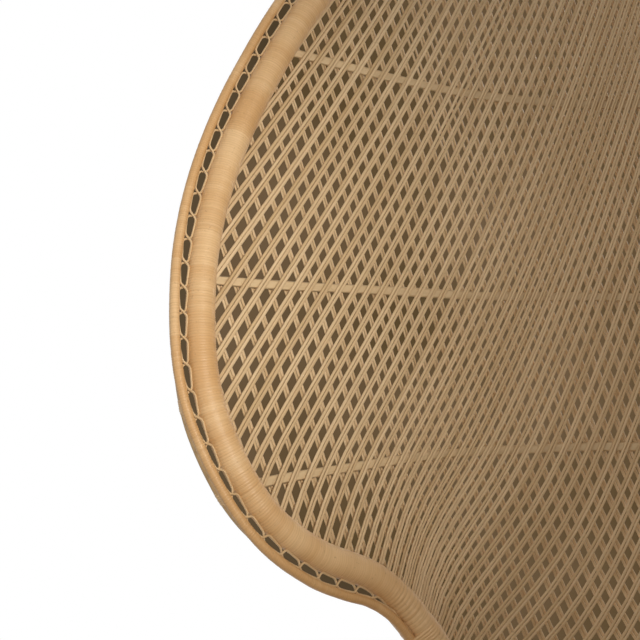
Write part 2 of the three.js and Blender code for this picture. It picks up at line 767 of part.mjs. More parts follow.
function postPoints(radial) {
  const footSeat = postSeat(FLOOR_RING_RADIUS, FLOOR_RING_TUBE);
  const headSeat = postSeat(SEAT_RING_RADIUS, SEAT_RING_TUBE);
  const place = (radius, z) => radial.clone().multiplyScalar(radius).setZ(z);
  const points = Array.from({ length: POST_SPANS + 1 }, (_, j) => {
    const share = j / POST_SPANS;
    const inset = THREE.MathUtils.lerp(FLOOR_RING_RADIUS - footSeat, SEAT_RING_RADIUS - headSeat, share);
    return place(baseRadius(share) - inset, THREE.MathUtils.lerp(BASE_FOOT_Z, BASE_HEAD_Z, share));
  });
  return [place(footSeat, FLOOR_RING_TUBE / 2), ...points, place(headSeat, SEAT_MAT_Z - CLEARANCE)];
}

for (let i = 0; i < POST_COUNT; i += 1) {
  const angle = POST_START_ANGLE + (i * 2 * Math.PI) / POST_COUNT;
  const radial = new THREE.Vector3(Math.cos(angle), Math.sin(angle), 0);
  const points = postPoints(radial);
  const places = bentPlaces(points, points.map(() => radial));
  addPiece(`base_post_${i + 1}`, rod(places, POST_RADIUS, POST_SIDES), POLE);
}

// Origin below the middle of the outer box
const box = new THREE.Box3().setFromObject(chair);
chair.position.y = -(box.min.y + box.max.y) / 2;
chair.updateMatrixWorld(true);

export default chair;
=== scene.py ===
"""Looks of the rattan peacock chair: wound peel, split-cane weave, lace, woven seat and hourglass base."""
import math

import bpy
import numpy as np
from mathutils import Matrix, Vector


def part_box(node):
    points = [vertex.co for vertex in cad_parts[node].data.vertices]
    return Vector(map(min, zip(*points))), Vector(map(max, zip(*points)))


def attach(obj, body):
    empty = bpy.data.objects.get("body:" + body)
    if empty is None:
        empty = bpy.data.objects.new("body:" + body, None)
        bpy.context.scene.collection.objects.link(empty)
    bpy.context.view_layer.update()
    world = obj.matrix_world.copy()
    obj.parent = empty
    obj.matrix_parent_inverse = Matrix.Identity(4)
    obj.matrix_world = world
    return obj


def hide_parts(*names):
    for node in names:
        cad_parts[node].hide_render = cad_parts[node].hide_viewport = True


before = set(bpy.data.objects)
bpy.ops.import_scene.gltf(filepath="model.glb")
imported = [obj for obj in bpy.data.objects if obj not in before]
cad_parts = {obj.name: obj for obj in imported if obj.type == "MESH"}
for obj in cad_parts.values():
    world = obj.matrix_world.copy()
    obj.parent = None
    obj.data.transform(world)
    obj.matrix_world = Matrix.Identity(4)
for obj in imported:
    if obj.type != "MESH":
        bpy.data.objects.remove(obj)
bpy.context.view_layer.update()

# Gap between pieces that touch
CLEARANCE = 0.0003

# Seat ring: its middle is the axis of the chair
ring_low, ring_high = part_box("seat_ring")
AXIS_Y = (ring_low.y + ring_high.y) / 2
SEAT_Z = (ring_low.z + ring_high.z) / 2
SEAT_RADIUS = 0.235
SEAT_TUBE = 0.016
SEAT_TOP_Z = SEAT_Z + SEAT_TUBE

# Shell of back and bucket
SHELL_TOP_RADIUS = 0.340
BACK_LEAN = 0.165
WING_Z = 0.900

# Edge of the weave
FAN_TOP_Z = 1.515
FAN_WIDE_Z = 0.965
FAN_HALF_WIDTH = 0.424
NECK_Z = 0.555
NECK_HALF_WIDTH = 0.190
FAN_ARC_POINTS = 4
LOWER_EDGE_SHAPE = [(0.889, 0.654), (0.7, 0.444), (0.538, 0.349), (0.316, 0.271), (0.158, 0.168), (0, 0)]
ARM_Z = 0.520
ARM_FOOT_Z = SEAT_TOP_Z + CLEARANCE
ARM_FRONT_ANGLE = 2.3
ARM_SHAPE = [(0.05, 1.08), (0.2, 1.0), (0.5, 1.03), (0.76, 0.88), (0.93, 0.5), (1.0, 0.14), (1.0, 0.0)]
ARM_SPANS = len(ARM_SHAPE)

# Strip lines of the weave, by share of the way from the widest level to the top
STRIPS_PER_RADIAN = 22.4
STRIPS_PER_RADIAN_GAIN = 10.5
STRIP_SHIFT = 15.3
STRIP_SHIFT_CURVE = 1.1
LAYER_OFFSET = 0.003
SPLIT_HALF_WIDTH = 0.00182
SPLIT_HALF_THICKNESS = 0.0007
SPLIT_TAPER = 0.3
STRIP_SHORTEST = 0.025
LONG_STRIP = 0.3
LONG_STRIP_STEPS = 34
SHORT_STRIP_STEPS = 14
FAN_GROUPS = 4
ARM_GROUPS = 2

# Unevenness of the splits, with the wander counted in strips
WANDER = 0.035
WANDER_WAVES = (0.5, 1.1)
WANDER_SHIFT = 0.04
LAYER_PLAY = 0.0003
PARTED_PAIRS = 0.09
PARTED_BY = (0.0008, 0.0026)
PARTED_PLACE = (0.1, 0.9)
PARTED_REACH = 0.22
PAIR_SPACING = 1.03
FOOT_WIDTH = 1.04
LEAST_WIDTH = 0.84
SPLIT_WIDTHS = (0.88, 1.04)
SPLIT_TONE = (0.4, 0.24)

# Searches
HALVINGS = 40
EDGE_ANGLE_LIMIT = 2.0
STRIP_ANGLE_LIMIT = 6.0
EDGE_SAMPLES = 4000
RIGHT_EDGE_SAMPLES = 2400
STRIP_SEARCH_STEP = 0.0015
STRIP_REACH = 75
STRIP_COUNT_REACH = 90
STRIP_COUNT_SAMPLES = 3601

# Strips that crowd where the front layer passes the left and right neck: number, reach and extra strips
NECK_CROWDS = [(-8, 5, 2.5), (20, 3.5, 1.2)]

# Bundle at the left neck: strips drawn in, plan angle and reach, where it fades sideways and upward
BUNDLE_STRIPS = 3.6
BUNDLE_ANGLE = 0.85
BUNDLE_REACH = 0.14
BUNDLE_TAIL_ANGLE = 0.38
BUNDLE_TAIL_REACH = 0.35
BUNDLE_LOW_Z = 0.500
BUNDLE_HIGH_Z = 0.817

# Edge rods, measured from the middle of the weave towards the sitter
ROLL_RADIUS = 0.0155
ROLL_OFFSET = 0.02025
ROLL_INSET = 0.0002
HOOP_RADIUS = 0.007
HOOP_OFFSET = -0.01225
LACE_GAP = 0.010
LACE_ROD_RADIUS = 0.005
LACE_ROD_INSET = 0.0001
LACE_ROD_DEEPER = 0.4
LACE_PITCH = 0.027
LACE_CANE_RADIUS = 0.0012
LACE_CANE_TONES = [0.7, 0.9]
LACE_CANE_SIDES = 7
LACE_CANE_SINK = 0.2
LACE_STEEPNESS = 3.4
LACE_CLOSED = 0.03
LACE_CLOSING = 0.09
LASHING_GAP = 0.095
LASHING_LENGTH = 0.016

# Spacing of points along the edge
ROD_STEP = 0.004
HOOP_STEP = 0.006
FINE_STEP = 0.002
BINDING_STEP = 0.0004

# Bindings of the lace rod's ends: one turn, first and last in points of the path
BINDING_TURN = 9
BINDING_FIRST = 4
BINDING_LAST = 41
BINDING_SWELL = 0.045
BINDING_SIDES = 28
BINDING_TONE = 0.35

# Bindings over the joints of arm rolls and fan roll, in spans of the edge
NECK_BINDING_ARM_SPAN = 0.4
NECK_BINDING_FAN_SPAN = 0.17
NECK_BINDING_RISE = 0.0006

# Poles: sides, gap between cane joints and tone, then the form of a joint
HOOP_POLE = (12, 0.31, 0.5)
BAR_POLE = (14, 0.19, 0.5)
POST_POLE = (14, 0.17, 0.55)
JOINT_START = 0.37
JOINT_SWELL = 0.05
JOINT_REACH = 0.005

# Cross bands: name, height at the middle, rise per squared radian
BANDS = [("upper", 1.193, 0.040), ("middle", 0.966, 0.006), ("lower", 0.797, -0.013)]
BAND_HALF_WIDTH = 0.005
BAND_HALF_THICKNESS = 0.0008
BAND_END_GAP = 0.004
BAND_STEPS = 140
BAND_SEARCH = np.linspace(0, 1.7, 800)
BAND_WAVER = 0.0007
BAND_WAVES = 9
BAND_SWELL = 0.05
BAND_SWELLS = 14
BAND_PHASES = 6
BAND_TONE = 0.35

# Base
FLOOR_RING_RADIUS = 0.228
FLOOR_RING_TUBE = 0.017
BASE_TWIST = math.radians(94)
BASE_PAIRS = 64
BASE_LAYER_OFFSET = 0.0036
BASE_FOOT_Z = 2 * FLOOR_RING_TUBE
BASE_HEAD_Z = SEAT_Z - SEAT_TUBE
BASE_STEPS = 14
BASE_GROUPS = 4
BASE_SPLIT_SIDE = 0.14
BASE_SPLIT_PLAY = 0.015
BASE_PAIR_PLAY = 0.05
BASE_WIDTHS = (0.85, 1.08)
BASE_TONE = (0.45, 0.25)
POST_COUNT = 6
POST_RADIUS = 0.008
POST_STEPS = 70
POST_GAP = 0.0012
RING_STEPS = 400
RING_INSET = 0.0006
WAIST_CORNER = 1.08
UPRIGHT = [0.0, 0.0, 1.0]

# Seat mat
MAT_RADIUS = 0.216
MAT_PITCH = 0.0086
MAT_EDGE_Z = SEAT_Z + 0.010
MAT_CROWN = 0.006
MAT_WAVE = 0.00075
MAT_STEPS = 160
MAT_SHORTEST = 0.02
MAT_PLAY = 0.0002
MAT_SPLIT_SHARE = 0.46
MAT_WIDTHS = (0.94, 1.02)
MAT_HALF_THICKNESS = 0.0006
MAT_TONE = (0.4, 0.25)
MAT_PROFILE = np.array([(-1, -0.5), (1, -0.5), (0.7, 1), (-0.7, 1)])
BAR_STEPS = 60

# Ropes at the mat's rim and the weave's foot: offset and tones
ROPE_CANE_RADIUS = 0.0026
ROPE_TWIST = 0.016
ROPE_SIDES = 6
RIM_ROPE_TONES = [0.3, 0.5]
RIM_ROPE_SHIFT = 0.0005
FOOT_ROPE_ANGLE = 2.18
FOOT_ROPE_RISE = 0.003
FOOT_ROPE_STEPS = 500
FOOT_ROPES = [(0.0095, [0.3, 0.5]), (-0.0095, [0.4, 0.6])]

# Windings of peel: pitch, crown and sides of a turn
ROLL_WINDING = (0.0028, 0.00034, 18)
LACE_ROD_WINDING = (0.0026, 0.00025, 10)
LASHING_WINDING = (0.0023, 0.0005, 12)
NECK_WINDING = (0.0036, 0.0006, 20)
RING_WINDING = (0.0042, 0.0004, 18)
ROLL_SEED = 146
LACE_ROD_SEED = 41

# Unevenness of windings, and the wider peel at the necks
PATCH_TURNS = 9
PEEL_TURNS = 45
PEEL_TURNS_SPREAD = (0.6, 1.4)
PEEL_TONE_SPREAD = 0.4
TURN_TONE_SPREAD = 0.09
TURN_LOOSENESS = 0.35
PEEL_BORDERS = np.array([0, 0.28, 0.72, 1])
NECK_PEEL_WIDTH = 2.1
NECK_PEEL_REACH = 0.15
NECK_PEEL_FADE = 0.05

# Section of a split, and the shift of the streaks from strand to strand
SPLIT_PROFILE = np.array([(-1, 0), (-0.62, -0.85), (0.62, -0.85), (1, 0), (0.62, 0.85), (-0.62, 0.85)])
STREAK_SHIFT = 1.7


# Arrays of vectors

def unit(vectors):
    """Each vector over its own length."""
    return vectors / np.linalg.norm(vectors, axis=-1, keepdims=True)


def round_profile(sides):
    """Circle of radius 1 as a polygon of that many sides."""
    turn = np.arange(sides) * 2 * np.pi / sides
    return np.stack([np.cos(turn), np.sin(turn)], axis=-1)


def square_frame(points, normals):
    """Tangent by central differences along each strand, across = normal x tangent, up = tangent x across."""
    tangent = unit(np.gradient(points, axis=-2))
    across = unit(np.cross(normals, tangent))
    return across, np.cross(tangent, across)


def lengths_along(points):
    """Running length of each strand, from 0 at its first point."""
    steps = np.linalg.norm(np.diff(points, axis=-2), axis=-1)
    return np.concatenate([np.zeros_like(steps[..., :1]), np.cumsum(steps, axis=-1)], axis=-1)


def eased(t):
    """Smooth step: 0 before 0, 1 after 1, 3 t squared less 2 t cubed between."""
    t = np.clip(t, 0, 1)
    return t ** 2 * (3 - 2 * t)


def by_halving(low, high, is_short):
    """Last place between low and high that is still short."""
    for _ in range(HALVINGS):
        middle = (low + high) / 2
        short = is_short(middle)
        low = np.where(short, middle, low)
        high = np.where(short, high, middle)
    return low


# Shell of the back: plan angle from the rear middle, and height

def shell_radius(z):
    """Middle radius: grows steadily from the seat to the top."""
    return SEAT_RADIUS + (SHELL_TOP_RADIUS - SEAT_RADIUS) * (z - SEAT_Z) / (FAN_TOP_Z - SEAT_Z)


def shell_middle(angle, z):
    """Plan is a circle at the seat and opens steadily to a parabola of that middle radius, leaning back."""
    wing = (z - SEAT_Z) / (WING_Z - SEAT_Z)
    radius = shell_radius(z)
    x = radius * ((1 - wing) * np.sin(angle) + wing * angle)
    sag = (1 - wing) * (1 - np.cos(angle)) + wing * angle ** 2 / 2
    y = AXIS_Y + SEAT_RADIUS + BACK_LEAN * (z - SEAT_Z) - radius * sag
    return np.stack([x, y, z + 0 * angle], axis=-1)


def shell_normal(angle, z):
    """Unit normal towards the sitter: sideways step x upward step."""
    turn = 0.001
    rise = 0.0005
    sideways = shell_middle(angle + turn, z) - shell_middle(angle - turn, z)
    upward = shell_middle(angle, z + rise) - shell_middle(angle, z - rise)
    return unit(np.cross(sideways, upward))


def angle_for_width(half_width, z):
    """Plan angle at which the shell is that far from the middle."""
    return by_halving(np.zeros_like(z), np.full_like(z, EDGE_ANGLE_LIMIT),
                      lambda angle: shell_middle(angle, z)[..., 0] < half_width)


# Edge of the weave, from the left arm's foot over the fan to the right arm's foot

def right_edge_points():
    """Quarter ellipse from the top to the widest level, a shaped run to the neck, then the arm."""
    turn = np.arange(1, FAN_ARC_POINTS + 1) / FAN_ARC_POINTS * np.pi / 2
    lower = np.array(LOWER_EDGE_SHAPE)
    half_width = np.concatenate([FAN_HALF_WIDTH * np.sin(turn),
                                 NECK_HALF_WIDTH + lower[:, 0] * (FAN_HALF_WIDTH - NECK_HALF_WIDTH)])
    z = np.concatenate([FAN_WIDE_Z + (FAN_TOP_Z - FAN_WIDE_Z) * np.cos(turn),
                        NECK_Z + lower[:, 1] * (FAN_WIDE_Z - NECK_Z)])
    angle = angle_for_width(half_width, z)
    arm = np.array(ARM_SHAPE)
    arm_angle = angle[-1] + arm[:, 0] * (ARM_FRONT_ANGLE - angle[-1])
    arm_z = ARM_FOOT_Z + arm[:, 1] * (ARM_Z - ARM_FOOT_Z)
    return np.stack([np.concatenate([angle, arm_angle]), np.concatenate([z, arm_z])], axis=-1)


RIGHT_EDGE = right_edge_points()
EDGE_POINTS = np.vstack([RIGHT_EDGE[::-1] * [-1, 1], [[0, FAN_TOP_Z]], RIGHT_EDGE]) * [SEAT_RADIUS, 1]
EDGE_SPANS = len(EDGE_POINTS) - 1


def edge_at(u):
    """Centripetal spline: each span is a cubic whose end slopes weigh the chords by the roots of
    their lengths."""
    first = 2 * EDGE_POINTS[0] - EDGE_POINTS[1]
    last = 2 * EDGE_POINTS[-1] - EDGE_POINTS[-2]
    knots = np.vstack([first, EDGE_POINTS, last])
    place = np.clip(u, 0, 1) * EDGE_SPANS
    span = np.minimum(place.astype(int), EDGE_SPANS - 1)
    t = (place - span)[:, None]
    p0, p1, p2, p3 = (knots[span + k] for k in range(4))
    d0, d1, d2 = (np.linalg.norm(b - a, axis=-1, keepdims=True) ** 0.5
                  for a, b in ((p0, p1), (p1, p2), (p2, p3)))
    slope1 = ((p1 - p0) / d0 - (p2 - p0) / (d0 + d1) + (p2 - p1) / d1) * d1
    slope2 = ((p2 - p1) / d1 - (p3 - p1) / (d1 + d2) + (p3 - p2) / d2) * d1
    bend2 = -3 * p1 + 3 * p2 - 2 * slope1 - slope2
    bend3 = 2 * p1 - 2 * p2 + slope1 + slope2
    point = p1 + slope1 * t + bend2 * t ** 2 + bend3 * t ** 3
    return point[:, 0] / SEAT_RADIUS, point[:, 1]


def beside_edge(u, offset, outward):
    """Point off the edge: offset along the shell's normal, outward along normal x edge direction."""
    probe = 0.002
    angle, z = edge_at(u)
    normal = shell_normal(angle, z)
    before = shell_middle(*edge_at(u - probe))
    after = shell_middle(*edge_at(u + probe))
    out = unit(np.cross(normal, unit(after - before)))
    return shell_middle(angle, z) + offset * normal + outward * out, normal, out


def edge_steps(first_span, last_span, offset, outward, spacing):
    """Shares of the edge for points at an even spacing beside it, and the whole length."""
    u = np.linspace(first_span, last_span, EDGE_SAMPLES) / EDGE_SPANS
    length = lengths_along(beside_edge(u, offset, outward)[0])
    count = max(int(length[-1] / spacing), 2)
    return np.interp(np.linspace(0, length[-1], count + 1), length, u), length[-1]


def edge_path(first_span, last_span, offset, spacing):
    """Points off the edge at an even spacing, with normals."""
    even, _ = edge_steps(first_span, last_span, offset, 0, spacing)
    return beside_edge(even, offset, 0)[:2]


# Meshes

def signed_volume(points, quads):
    """Sum over both triangles of each quad of first corner . (second x third) / 6."""
    a, b, c, d = (points[quads[:, k]] for k in range(4))
    return (np.einsum("ij,ij", a, np.cross(b, c)) + np.einsum("ij,ij", a, np.cross(c, d))) / 6


def placed(name, data):
    """New object in the scene."""
    made = bpy.data.objects.new(name, data)
    bpy.context.scene.collection.objects.link(made)
    return made


def meshed(name, points, faces, material):
    """New object in the scene, with a mesh of one material."""
    mesh = bpy.data.meshes.new(name)
    mesh.from_pydata(points.tolist(), [], faces)
    mesh.materials.append(material)
    return placed(name, mesh)


def add_piece(name, shape, material, replaced):
    """Mesh from a shape of points, quads, uv per quad corner, caps and tone; faces turned outwards."""
    points, quads, uv, caps = (shape[key] for key in ("points", "quads", "uv", "caps"))
    if signed_volume(points, quads) < 0:
        quads = quads[:, ::-1]
        uv = uv[:, ::-1]
        caps = [cap[::-1] for cap in caps]
    used, index = np.unique(np.concatenate([quads.ravel(), *caps]), return_inverse=True)
    corners = quads.size
    faces = index[:corners].reshape(-1, 4).tolist()
    start = corners
    for cap in caps:
        faces.append(index[start:start + len(cap)].tolist())
        start += len(cap)
    piece = meshed(name, points[used], faces, material)
    mesh = piece.data
    flat_uv = np.zeros((len(index), 2))
    flat_uv[:corners] = uv.reshape(-1, 2)
    mesh.uv_layers.new(name="cane").data.foreach_set("uv", flat_uv.ravel())
    tone = mesh.attributes.new("tone", "FLOAT", "POINT")
    tone.data.foreach_set("value", shape["tone"][used])
    mesh.shade_smooth()
    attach(piece, "root")
    if replaced:
        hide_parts(*replaced)


def swept(centre, across, up, profile, half_width, half_height, tone):
    """Profile carried along strands: path point + profile x times across + profile y times up.
    The arrays are strands by steps; uv is the share round the profile and the length along the strand."""
    strands, steps = centre.shape[:2]
    sides = len(profile)
    wide = np.broadcast_to(half_width, (strands, steps))[:, :, None, None]
    high = np.broadcast_to(half_height, (strands, steps))[:, :, None, None]
    rings = (centre[:, :, None] + wide * profile[:, :1] * across[:, :, None]
             + high * profile[:, 1:] * up[:, :, None])
    index = np.arange(strands * steps * sides).reshape(strands, steps, sides)
    there = np.roll(index, -1, axis=2)
    quads = np.stack([index[:, :-1], there[:, :-1], there[:, 1:], index[:, 1:]], axis=-1)
    share = np.arange(sides) / sides
    run = lengths_along(centre) + STREAK_SHIFT * np.arange(strands)[:, None]
    u = np.stack([share, share + 1 / sides, share + 1 / sides, share], axis=-1)
    start = run[:, :-1, None, None]
    stop = run[:, 1:, None, None]
    v = np.concatenate([start, start, stop, stop], axis=-1)
    uv = np.stack(np.broadcast_arrays(u, v), axis=-1)
    caps = [*index[:, 0, ::-1], *index[:, -1]]
    tones = np.broadcast_to(np.asarray(tone)[:, None, None], index.shape).ravel()
    return {"points": rings.reshape(-1, 3), "quads": quads.reshape(-1, 4), "uv": uv.reshape(-1, 4, 2),
            "caps": caps, "tone": tones}


def laid(centre, normals, profile, half_width, half_height, tone):
    """Profile carried along strands that face along the normals."""
    return swept(centre, *square_frame(centre, normals), profile, half_width, half_height, tone)


def wound_peel(points, normals, radius, winding, seed, closed=False, end_width=1.0):
    """One strip of peel wound round a pole. At turn number w and share q across the strip, the point lies
    where the path holds w + q turns and at the angle 2 pi w, on a radius that swells by the crown mid-strip.
    Turns are counted as the length over the pitch, and near the ends the strip is wider by the end width."""
    pitch, crown, sides = winding
    rng = np.random.default_rng(seed)
    if closed:
        points = np.vstack([points, points[:1]])
        normals = np.vstack([normals, normals[:1]])
    across, up = square_frame(points, normals)
    if closed:
        across[0] = across[-1] = unit(across[0] + across[-1])
        up[0] = up[-1] = unit(up[0] + up[-1])
    length = lengths_along(points)
    near = np.minimum(length, length[-1] - length)
    wider = 1 + (end_width - 1) * eased((NECK_PEEL_REACH - near) / NECK_PEEL_FADE)
    count = np.concatenate([[0], np.cumsum(2 * np.diff(length) / (wider[1:] + wider[:-1]) / pitch)])
    held = round(count[-1])
    count *= held / count[-1]
    turns = held if closed else held - 1
    rows = held * sides + (0 if closed else 1)
    share = PEEL_BORDERS[:3]
    swell = np.array([0, 1, 1])
    turn = np.arange(rows)[:, None] / sides
    loose = 1 + TURN_LOOSENESS * np.interp(turn, np.arange(turns + 2), rng.uniform(-1, 1, turns + 2))
    place = np.interp((turn + share) % turns if closed else turn + share, count, length)
    at = [np.stack([np.interp(place, length, array[:, k]) for k in range(3)], axis=-1)
          for array in (points, across, up)]
    angle = 2 * np.pi * np.broadcast_to(turn, place.shape)[..., None]
    reach = (radius + crown * swell * loose * np.interp(place, length, wider))[..., None]
    cloud = at[0] + reach * (np.cos(angle) * at[1] + np.sin(angle) * at[2])
    index = np.arange(rows * 3).reshape(rows, 3)
    here = np.arange(turns * sides)
    after = (here + 1) % rows
    columns = [*index.T, np.roll(index[:, 0], -sides)]
    quads = np.stack([np.stack([left[here], left[after], right[after], right[here]], axis=-1)
                      for left, right in zip(columns, columns[1:])], axis=1)
    u = np.stack([share, share, PEEL_BORDERS[1:], PEEL_BORDERS[1:]], axis=-1)
    v = 2 * np.pi * radius * np.stack([here, here + 1, here + 1, here], axis=-1) / sides
    uv = np.stack(np.broadcast_arrays(u[None], v[:, None]), axis=-1)
    caps = []
    if not closed:
        top = turns * sides
        caps = [np.concatenate([index[:sides + 1, 0], index[0, :0:-1]])[::-1],
                np.concatenate([index[top:top + sides + 1, 0], index[top, :0:-1]])]
    whole = np.floor(turn).astype(int)
    joints = np.cumsum(PEEL_TURNS * rng.uniform(*PEEL_TURNS_SPREAD, turns // PEEL_TURNS + 4))
    lengths = rng.uniform(-PEEL_TONE_SPREAD, PEEL_TONE_SPREAD, len(joints) + 1)
    patches = rng.uniform(0, 1, turns // PATCH_TURNS + 3)
    jitter = rng.normal(0, TURN_TONE_SPREAD, turns + 3)
    tone = (np.interp(turn / PATCH_TURNS, np.arange(len(patches)), patches)
            + lengths[np.searchsorted(joints, whole)] + jitter[whole])
    tone = np.broadcast_to(np.clip(tone, 0, 1), place.shape).ravel()
    return {"points": cloud.reshape(-1, 3), "quads": quads.reshape(-1, 4), "uv": uv.reshape(-1, 4, 2),
            "caps": caps, "tone": tone}


# Materials: node groups for what several of them share

# Levels between which a mark goes from none to all
PATCH_LEVELS = (0.42, 0.68)
SPECK_LEVELS = (0.66, 0.74)
STREAK_LEVELS = (0.46, 0.7)
GROOVE_DIRT_AND_SHADE_LEVELS = (0.34, 0.5)
SHINE_LEVELS = (0.3, 0.7)
CLOUD_LEVELS = (0.35, 0.7)
PATCH_STRENGTH = 0.4
SPECK_STRENGTH = 0.45
SMOOTHER = 0.08
ROUGHER = 0.1


def node(tree, kind, inputs=(), **settings):
    """New node with its settings, and its inputs set to a value or linked to a socket."""
    made = tree.nodes.new(kind)
    for key, value in settings.items():
        setattr(made, key, value)
    for key, value in dict(inputs).items():
        if isinstance(value, bpy.types.NodeSocket):
            tree.links.new(value, made.inputs[key])
        else:
            made.inputs[key].default_value = value
    return made


def mixed(tree, factor, first, second):
    """Colour between two colours by a factor."""
    return node(tree, "ShaderNodeMix", {0: factor, 6: first, 7: second}, data_type="RGBA").outputs[2]


def ranged(tree, value, levels, least=0.0, most=1.0):
    """Value carried from the range between two levels to another, held at the ends."""
    made = node(tree, "ShaderNodeMapRange", {"Value": value, "From Min": levels[0], "From Max": levels[1],
                                             "To Min": least, "To Max": most})
    return made.outputs["Result"]


def worked(tree, operation, first, second=0.0):
    """Two values put together by a calculation."""
    return node(tree, "ShaderNodeMath", {0: first, 1: second}, operation=operation).outputs[0]


def noise(tree, place, scale, detail, roughness=0.5):
    """Level of a noise at a place."""
    return node(tree, "ShaderNodeTexNoise", {"Vector": place, "Scale": scale, "Detail": detail,
                                             "Roughness": roughness}).outputs["Fac"]


def object_place(tree):
    """Place in the object's own coordinates."""
    return node(tree, "ShaderNodeTexCoord").outputs["Object"]


def cane_uv(tree):
    """Share across a strand or strip, and length along it."""
    uv = node(tree, "ShaderNodeUVMap", uv_map="cane")
    return node(tree, "ShaderNodeSeparateXYZ", {0: uv.outputs[0]}).outputs


def new_material(name):
    """Material, its node tree and its shader."""
    material = bpy.data.materials.new(name)
    material.use_nodes = True
    return material, material.node_tree, material.node_tree.nodes["Principled BSDF"]


def blend(tree, factor, first, second, result="Material Output"):
    """Surface that goes from one shader to another by a factor."""
    both = node(tree, "ShaderNodeMixShader", {0: factor, 1: first.outputs[0], 2: second.outputs[0]})
    tree.links.new(both.outputs[0], tree.nodes[result].inputs["Surface"])


def new_group(name, inputs, outputs):
    """Empty shader group with float inputs (name, value) and float outputs."""
    tree = bpy.data.node_groups.new(name, "ShaderNodeTree")
    for label, value in inputs:
        socket = tree.interface.new_socket(label, in_out="INPUT", socket_type="NodeSocketFloat")
        socket.default_value = value
    for label in outputs:
        tree.interface.new_socket(label, in_out="OUTPUT", socket_type="NodeSocketFloat")
    return tree, tree.nodes.new("NodeGroupInput"), tree.nodes.new("NodeGroupOutput")


def fibre_group():
    """Streaks along a strand: noise on the uv, packed tight across and drawn out along the length."""
    tree, given, result = new_group("cane_fibres", [("Across", 8.0), ("Along", 14.0)], ["Streak", "Fine"])
    uv = cane_uv(tree)
    across = worked(tree, "MULTIPLY", uv[0], given.outputs["Across"])
    along = worked(tree, "MULTIPLY", uv[1], given.outputs["Along"])
    place = node(tree, "ShaderNodeCombineXYZ", {0: across, 1: along}).outputs[0]
    tree.links.new(noise(tree, place, scale=1.0, detail=3.0), result.inputs["Streak"])
    tree.links.new(noise(tree, place, scale=4.0, detail=2.0), result.inputs["Fine"])
    return tree


def age_group():
    """Browner patches and small dark specks that lie over the whole chair, on object coordinates."""
    tree, given, result = new_group("age_patches", [("Size", 6.0)], ["Patch", "Speck"])
    place = object_place(tree)
    patch = noise(tree, place, given.outputs["Size"], detail=3.0, roughness=0.6)
    speck = noise(tree, place, scale=260.0, detail=2.0)
    tree.links.new(ranged(tree, patch, PATCH_LEVELS), result.inputs["Patch"])
    tree.links.new(ranged(tree, speck, SPECK_LEVELS), result.inputs["Speck"])
    return tree


FIBRES = fibre_group()
AGE = age_group()


def cane_material(name, pale, deep, stain, across, along, roughness, streaks, groove_dirt_and_shade=0.0):
    """Cane or peel: strand tone between a pale and a deep colour, darker streaks along the fibres, browner
    patches of age, dark specks, dirt and painted shade along the groove at the borders of a wound strip."""
    material, tree, shader = new_material(name)
    fibres = node(tree, "ShaderNodeGroup", {"Across": across, "Along": along}, node_tree=FIBRES).outputs
    age = node(tree, "ShaderNodeGroup", node_tree=AGE).outputs
    tone = node(tree, "ShaderNodeAttribute", attribute_name="tone")
    colour = mixed(tree, tone.outputs["Fac"], pale, deep)
    colour = mixed(tree, ranged(tree, fibres["Streak"], STREAK_LEVELS, most=streaks), colour, stain)
    colour = mixed(tree, worked(tree, "MULTIPLY", age["Patch"], PATCH_STRENGTH), colour, deep)
    colour = mixed(tree, worked(tree, "MULTIPLY", age["Speck"], SPECK_STRENGTH), colour, stain)
    # Painted shade with some dirt: darker towards both borders of a wound strip, along the groove between
    # turns.
    if groove_dirt_and_shade:
        side = worked(tree, "ABSOLUTE", worked(tree, "SUBTRACT", cane_uv(tree)[0], 0.5))
        colour = mixed(tree, ranged(tree, side, GROOVE_DIRT_AND_SHADE_LEVELS, most=groove_dirt_and_shade), colour, stain)
    tree.links.new(colour, shader.inputs["Base Color"])
    rough = ranged(tree, fibres["Streak"], SHINE_LEVELS, roughness - SMOOTHER, roughness + ROUGHER)
    tree.links.new(rough, shader.inputs["Roughness"])
    relief = node(tree, "ShaderNodeBump", {"Height": fibres["Fine"], "Strength": 0.25, "Distance": 0.0006})
    tree.links.new(relief.outputs["Normal"], shader.inputs["Normal"])
    return material


PEEL = cane_material("wound_peel", (0.755, 0.51, 0.265, 1), (0.60, 0.345, 0.14, 1), (0.36, 0.20, 0.08, 1),
                     across=3.0, along=22.0, roughness=0.44, streaks=0.3, groove_dirt_and_shade=0.3)
SPLIT = cane_material("split_cane", (0.77, 0.57, 0.34, 1), (0.60, 0.41, 0.21, 1), (0.42, 0.27, 0.13, 1),
                      across=5.0, along=16.0, roughness=0.55, streaks=0.35)
LATH = cane_material("band_lath", (0.74, 0.55, 0.32, 1), (0.62, 0.44, 0.24, 1), (0.44, 0.29, 0.14, 1),
                     across=9.0, along=18.0, roughness=0.55, streaks=0.3)
POLE = cane_material("pole_skin", (0.60, 0.40, 0.185, 1), (0.48, 0.29, 0.12, 1), (0.28, 0.16, 0.07, 1),
                     across=4.0, along=9.0, roughness=0.48, streaks=0.4)


# Weave

def strip_number(angle, z):
    """Number of the front strip through a place: the angle times the strips in one radian, less the shift at
    that height, plus the bundle, which crowds the strips at the left neck and opens out above it."""
    share = (z - FAN_WIDE_Z) / (FAN_TOP_Z - FAN_WIDE_Z)
    per_radian = STRIPS_PER_RADIAN + STRIPS_PER_RADIAN_GAIN * share
    shift = STRIP_SHIFT * share + STRIP_SHIFT_CURVE * share ** 3
    fall = eased((BUNDLE_HIGH_Z - z) / (BUNDLE_HIGH_Z - BUNDLE_LOW_Z))
    crowd = np.tanh((angle + BUNDLE_ANGLE) / BUNDLE_REACH)
    fade = (1 - np.tanh((angle + BUNDLE_TAIL_ANGLE) / BUNDLE_TAIL_REACH)) / 2
    return angle * per_radian - shift + BUNDLE_STRIPS * crowd * fade * fall


